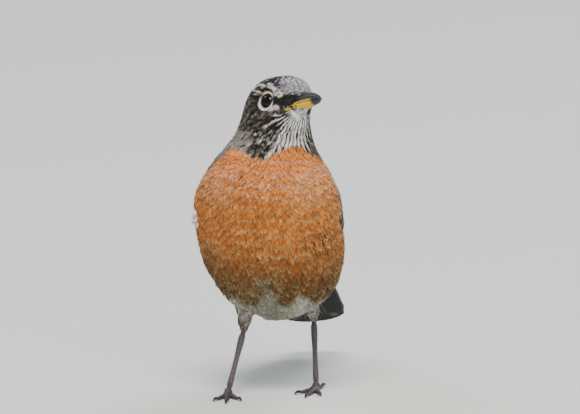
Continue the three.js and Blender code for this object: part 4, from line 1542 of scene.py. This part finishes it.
def layFlight(path, normals, half, shaft, knobs):
    # path and normals hold one row of points per feather; shaft from -1 to 1 is where the quill runs across it
    across, along, face = longBlade["co"].T
    count = len(path)
    x = np.tile(across, (count, 1))
    u = np.tile(along, (count, 1))
    corner = np.abs(x - shaft[:, None] * 0.5) ** 2.4 * along ** 6 * (along > 0.9)
    u = np.clip(u - knobs["round"] * corner, 0, 1)
    centre = onPath(path, u)
    way = unit(onPath(path, np.minimum(u + 0.04, 1)) - onPath(path, np.maximum(u - 0.04, 0)))
    normal = unit(onPath(normals, u))
    side = unit(np.cross(way, normal))
    profile = (0.3 + 0.7 * ease(0, knobs["widen"], u)) * (1 - 0.25 * ease(0.85, 1.0, u))
    width = half[:, None] * profile
    splits = 1 + 0.03 * rng.normal(0, 1, u.shape) * (np.abs(x) > 0.99)
    off = x - shaft[:, None]
    quill = np.exp(-(off / 0.14) ** 2) * (1 - u * 0.8)
    lift = face * (knobs["thick"] + knobs["quill"] * quill * (face > 0)) - knobs["camber"] * off ** 2 * width
    places = centre + side * (x * width * splits)[..., None] + normal * lift[..., None]
    vx = np.where(off < 0, off / (1 + shaft[:, None]), off / (1 - shaft[:, None]))
    return places, x, u, vx


def flightSheet(x, u):
    # bake places: each feather has a strip of its own
    count = len(x)
    columns = math.ceil(math.sqrt(count * 2))
    rows = math.ceil(count / columns)
    i = np.arange(count)
    return np.stack([(i % columns + 0.5)[:, None] / columns + x * 0.42 / columns,
                     (i // columns + 0.5)[:, None] / rows + (u - 0.5) * 0.86 / rows], -1)


tail = {"feathers": 12, "root": (0, -2.84, 72), "slope": 33, "roll": 8, "length": 101, "rootWidth": 15,
        "tipWidth": 31, "half": 5.6,
        "dark": paint(30, 28, 26), "edge": paint(108, 102, 92), "tip": paint(170, 168, 162),
        "shape": {"round": 0.018, "widen": 0.3, "camber": 0.045, "thick": 0.16, "quill": 0.2}}


def makeTail(t):
    slope, roll = math.radians(t["slope"]), math.radians(t["roll"])
    way = np.array([0, math.cos(slope), -math.sin(slope)])
    side = np.array(Matrix.Rotation(-roll, 3, Vector(way)) @ Vector((1, 0, 0)))
    up = np.cross(side, way)
    count = t["feathers"]
    place = (np.arange(count) + 0.5) / count
    place = place[np.argsort(-np.abs(place - 0.5))]  # outer pair first, the middle pair lies on top
    v = np.linspace(0, 1, 10)
    width = t["rootWidth"] + (t["tipWidth"] - 2 * 4.4 - t["rootWidth"]) * v ** 0.8
    across = (place[:, None] - 0.5) * width * 1.06
    length = t["length"] * (1 - 0.09 * (2 * place - 1) ** 2) - 1
    rank = np.arange(count) // 2
    height = -(across / 16) ** 2 * 1.2 - v ** 2 * 1.5 + 0.3 + (rank * 0.17)[:, None] - 0.4
    path = np.array(t["root"]) + way * (length[:, None] * v)[..., None]
    path = path + side * across[..., None] + up * height[..., None]
    normals = np.tile(up, (count, len(v), 1))
    shaft = np.where(place > 0.5, 0.35, -0.35) * (0.3 + np.abs(place - 0.5))
    places, x, u, vx = layFlight(path, normals, np.full(count, t["half"]), shaft, t["shape"])
    outward = x * np.where(place > 0.5, 1, -1)[:, None]
    colour = mix(t["dark"], t["edge"], 0.75 * ease(0.84, 1, np.abs(x)))
    colour = mix(colour, t["dark"] * 0.6, 0.4 * ease(0.5, 0.0, np.abs(vx)))
    outer = (np.abs(place - 0.5) > 0.38)[:, None]
    paleCorner = outer * ease(0.955, 1.0, u + 0.03 * outward) * ease(-0.2, 0.5, -outward + 0.3)
    colour = mix(colour, t["tip"], paleCorner * 0.35)
    vane = np.stack([vx, u, np.repeat(rng.random((count, 1)), x.shape[1], 1)], -1)
    piece = joinCopies("tailFeathers", longBlade, places, colour, vane, flightSheet(x, u), flightPlume)
    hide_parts("tail")


makeTail(tail)
print("tail ready")


# wings, folded on a bed measured from the trunk and the wing solids

wingBed = {"start": np.array([0, -39.84, 98.0]), "end": np.array([0, 42.16, 39.0]), "sink": 1.5, "far": 70}
bedWay = unit(wingBed["end"] - wingBed["start"])
bedUp = np.array([0, -bedWay[2], bedWay[1]])
bedAlong = np.linspace(-0.15, 1.15, 44)
bedTurn = np.linspace(-50, 110, 41)


def solidTree(parts):
    points, faces = [], []
    for part in parts:
        faces += (trianglesOf(nodes[part].data) + len(points)).tolist()
        points += pointsOf(nodes[part].data).tolist()
    return BVHTree.FromPolygons(points, faces)


def bedMiddle(t):
    return wingBed["start"] + (wingBed["end"] - wingBed["start"]) * t


def bedDirection(side, turn):
    a = np.radians(turn)
    return np.stack([side * np.cos(a), bedUp[1] * np.sin(a), bedUp[2] * np.sin(a)], -1)


def measureBed(side):
    # how far out of the bed's middle line the trunk and the folded wing stand
    name = "left" if side > 0 else "right"
    tree = solidTree(["trunk"] + [g + "_" + name for g in ("primaries", "secondaries", "coverts")])
    far = wingBed["far"]
    reach = np.full((len(bedAlong), len(bedTurn)), np.nan)
    for i, t in enumerate(bedAlong):
        for j, turn in enumerate(bedTurn):
            way = bedDirection(side, turn)
            hit = tree.ray_cast(Vector(bedMiddle(t) + way * far), Vector(-way), far - 1)
            if hit[0] is not None:
                reach[i, j] = far - hit[3]
    for i in range(1, len(bedAlong)):
        reach[i] = np.where(np.isnan(reach[i]), reach[i - 1] - 0.6, reach[i])
    reach[0] = np.where(np.isnan(reach[0]), np.nanmean(reach[0]), reach[0])
    for step in range(5):
        q = np.pad(reach, 1, mode="edge")
        reach = (q[:-2, 1:-1] + q[2:, 1:-1] + q[1:-1, :-2] + q[1:-1, 2:] + 2 * reach) / 6
    return reach - wingBed["sink"]


bedReach = {side: measureBed(side) for side in (1, -1)}


def wingSpot(side, t, turn, height):
    # a place over the wing bed: t along it, turn in degrees up from level, height in millimetres
    t, turn, height = np.broadcast_arrays(t, turn, height)
    i = np.clip((t - bedAlong[0]) / (bedAlong[1] - bedAlong[0]), 0, len(bedAlong) - 1.001)
    j = np.clip((turn - bedTurn[0]) / (bedTurn[1] - bedTurn[0]), 0, len(bedTurn) - 1.001)
    i0, j0 = i.astype(int), j.astype(int)
    a, b = i - i0, j - j0
    table = bedReach[side]
    near = table[i0, j0] * (1 - a) + table[i0 + 1, j0] * a
    onward = table[i0, j0 + 1] * (1 - a) + table[i0 + 1, j0 + 1] * a
    reach = near * (1 - b) + onward * b
    return bedMiddle(t[..., None]) + bedDirection(side, turn) * (reach + height)[..., None]


# root and tip are places on the bed of each row's first and last feather: how far along it, and the turn
wingRows = {
    "primaries": {"count": 8, "root": [(0.2, -2), (0.24, 26)], "tip": [(1.075, 42), (0.84, 76)], "half": 5.2,
                  "height": -0.6, "stack": 0.16, "dark": paint(66, 62, 60), "edge": paint(150, 146, 140),
                  "edgeShare": 0.6, "shaft": -0.35},
    "secondaries": {"count": 7, "root": [(0.16, 10), (0.2, 56)], "tip": [(0.79, 34), (0.7, 82)], "half": 6.2,
                    "height": 0.3, "stack": 0.15, "dark": paint(78, 73, 68), "edge": paint(152, 146, 136),
                    "edgeShare": 0.55, "shaft": -0.25},
    "tertials": {"count": 3, "root": [(0.14, 52), (0.16, 72)], "tip": [(0.62, 62), (0.5, 86)], "half": 6.6,
                 "height": 1.2, "stack": 0.25, "dark": paint(86, 80, 73), "edge": paint(150, 143, 132),
                 "edgeShare": 0.55, "shaft": -0.1},
    "primaryCoverts": {"count": 6, "root": [(0.06, -4), (0.1, 12)], "tip": [(0.4, 1), (0.46, 24)], "half": 3.4,
                       "height": 0.5, "stack": 0.1, "dark": paint(64, 60, 57), "edge": paint(132, 127, 120),
                       "edgeShare": 0.45, "shaft": -0.3},
    "alula": {"count": 4, "root": [(-0.13, 1), (-0.1, 8)], "tip": [(0.07, -18), (0.14, -2)], "half": 2.9,
              "height": 3.9, "stack": 0.25, "dark": paint(32, 30, 29), "edge": paint(216, 212, 204),
              "edgeShare": 0.7, "shaft": -0.3},
    "greaterCoverts": {"count": 9, "root": [(0.06, 10), (0.05, 66)], "tip": [(0.41, 13), (0.4, 78)], "half": 5.4,
                       "height": 1.35, "stack": 0.06, "dark": paint(82, 77, 71), "edge": paint(156, 150, 142),
                       "edgeShare": 0.6, "shaft": -0.2},
}
wingShape = {"round": 0.07, "widen": 0.35, "camber": 0.05, "thick": 0.12, "quill": 0.16}


def makeWing(side, rows, shape):
    parts = []
    for row in rows.values():
        count = row["count"]
        start, end = np.linspace(*row["root"], count), np.linspace(*row["tip"], count)
        v = np.linspace(0, 1, 11)
        along = start[:, :1] * (1 - v) + end[:, :1] * v
        turn = start[:, 1:] * (1 - v) + end[:, 1:] * v
        height = row["height"] + row["stack"] * np.arange(count)[:, None]
        height = height * ease(0.0, 0.3, along) - 0.9 * (1 - v) + 0.15 * v
        path = wingSpot(side, along, turn, height)
        normals = unit(wingSpot(side, along, turn, height + 1) - path)
        shaft = np.full(count, row["shaft"] * side)
        places, x, u, vx = layFlight(path, normals, np.full(count, row["half"]), shaft, shape)
        outer = -x * side  # the web that shows, towards the wing's lower edge
        colour = np.tile(row["dark"], (count, x.shape[1], 1)) * (0.92 + 0.16 * rng.random((count, 1, 1)))
        colour = mix(colour, row["edge"], row["edgeShare"] * ease(0.7, 1.0, np.abs(x)) * (0.5 + 0.5 * (outer > 0)))
        colour = mix(colour, row["edge"], 0.5 * row["edgeShare"] * ease(0.93, 1.0, u))
        colour = mix(colour, row["dark"] * 0.6, 0.5 * ease(0.12, 0.0, np.abs(vx)))
        vane = np.stack([vx, u, np.repeat(rng.random((count, 1)), x.shape[1], 1)], -1)
        parts.append((places, colour, vane, x, u))
    places, colour, vane, x, u = (np.concatenate(q) for q in zip(*parts))
    name = "left" if side > 0 else "right"
    wing = joinCopies("wing_" + name, longBlade, places, colour, vane, flightSheet(x, u), flightPlume)
    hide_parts(*[g + "_" + name for g in ("primaries", "secondaries", "coverts")])


for side in (1, -1):
    makeWing(side, wingRows, wingShape)

# t and turn bound each patch on the wing bed; run is how far its feathers reach over it, height their root and tip
wingPatches = {
    "scapulars": {"count": 120, "t": (-0.08, 0.2), "turn": (62, 100), "run": (0.1, -4), "height": (1.4, 2.6),
                  "size": 8.5},
    "mantle": {"count": 110, "t": (-0.14, 0.0), "turn": (30, 96), "run": (0.08, 0), "height": (1.0, 2.7),
               "size": 6.5},
    "lesser": {"count": 100, "t": (-0.11, 0.02), "turn": (-6, 34), "run": (0.075, 1), "height": (0.9, 1.9),
               "size": 5.5},
    "flank": {"count": 120, "t": (0.08, 0.62), "turn": (-17, -8), "run": (0.075, 9), "height": (1.0, 2.4),
              "size": 8.0, "follow": 38},
}


def growOnWing(name, side, w):
    # feathers on the wing bed itself, joining the wing's edges to the body
    count = w["count"]
    low, high = w["height"]
    t = rng.uniform(*w["t"], count)
    turn = rng.uniform(*w["turn"], count) + w.get("follow", 0) * np.maximum(0, t - 0.12)
    steps = (0, 0.5, 1)
    line = [(t + w["run"][0] * k, turn + w["run"][1] * k) for k in steps]
    knots = np.stack([wingSpot(side, *spot, low + (high - low) * k) for spot, k in zip(line, steps)], 1)
    lifted = np.stack([wingSpot(side, *spot, 9.0) for spot in line], 1)
    place, normal, uv = nearSkin(knots[:, 0])
    if name == "flank":  # coloured as the body a little lower
        tones = markings(place - [0, 0, 3], rng.random(count))
    else:
        back = mix(plumage["back"], plumage["nape"], 0.2)
        base, edge, amount = plainTones(count, back, plumage["backEdge"], 0.5)
        tones = (base * rng.uniform(0.85, 1.1, (count, 1)), edge, amount)
    growFeathers(name + ("Left" if side > 0 else "Right"), knots, unit(lifted - knots), np.full(count, w["size"]), uv,
                 tracts["body"], tones)


for side in (1, -1):
    for name, patch in wingPatches.items():
        growOnWing(name, side, patch)
print("wings ready")
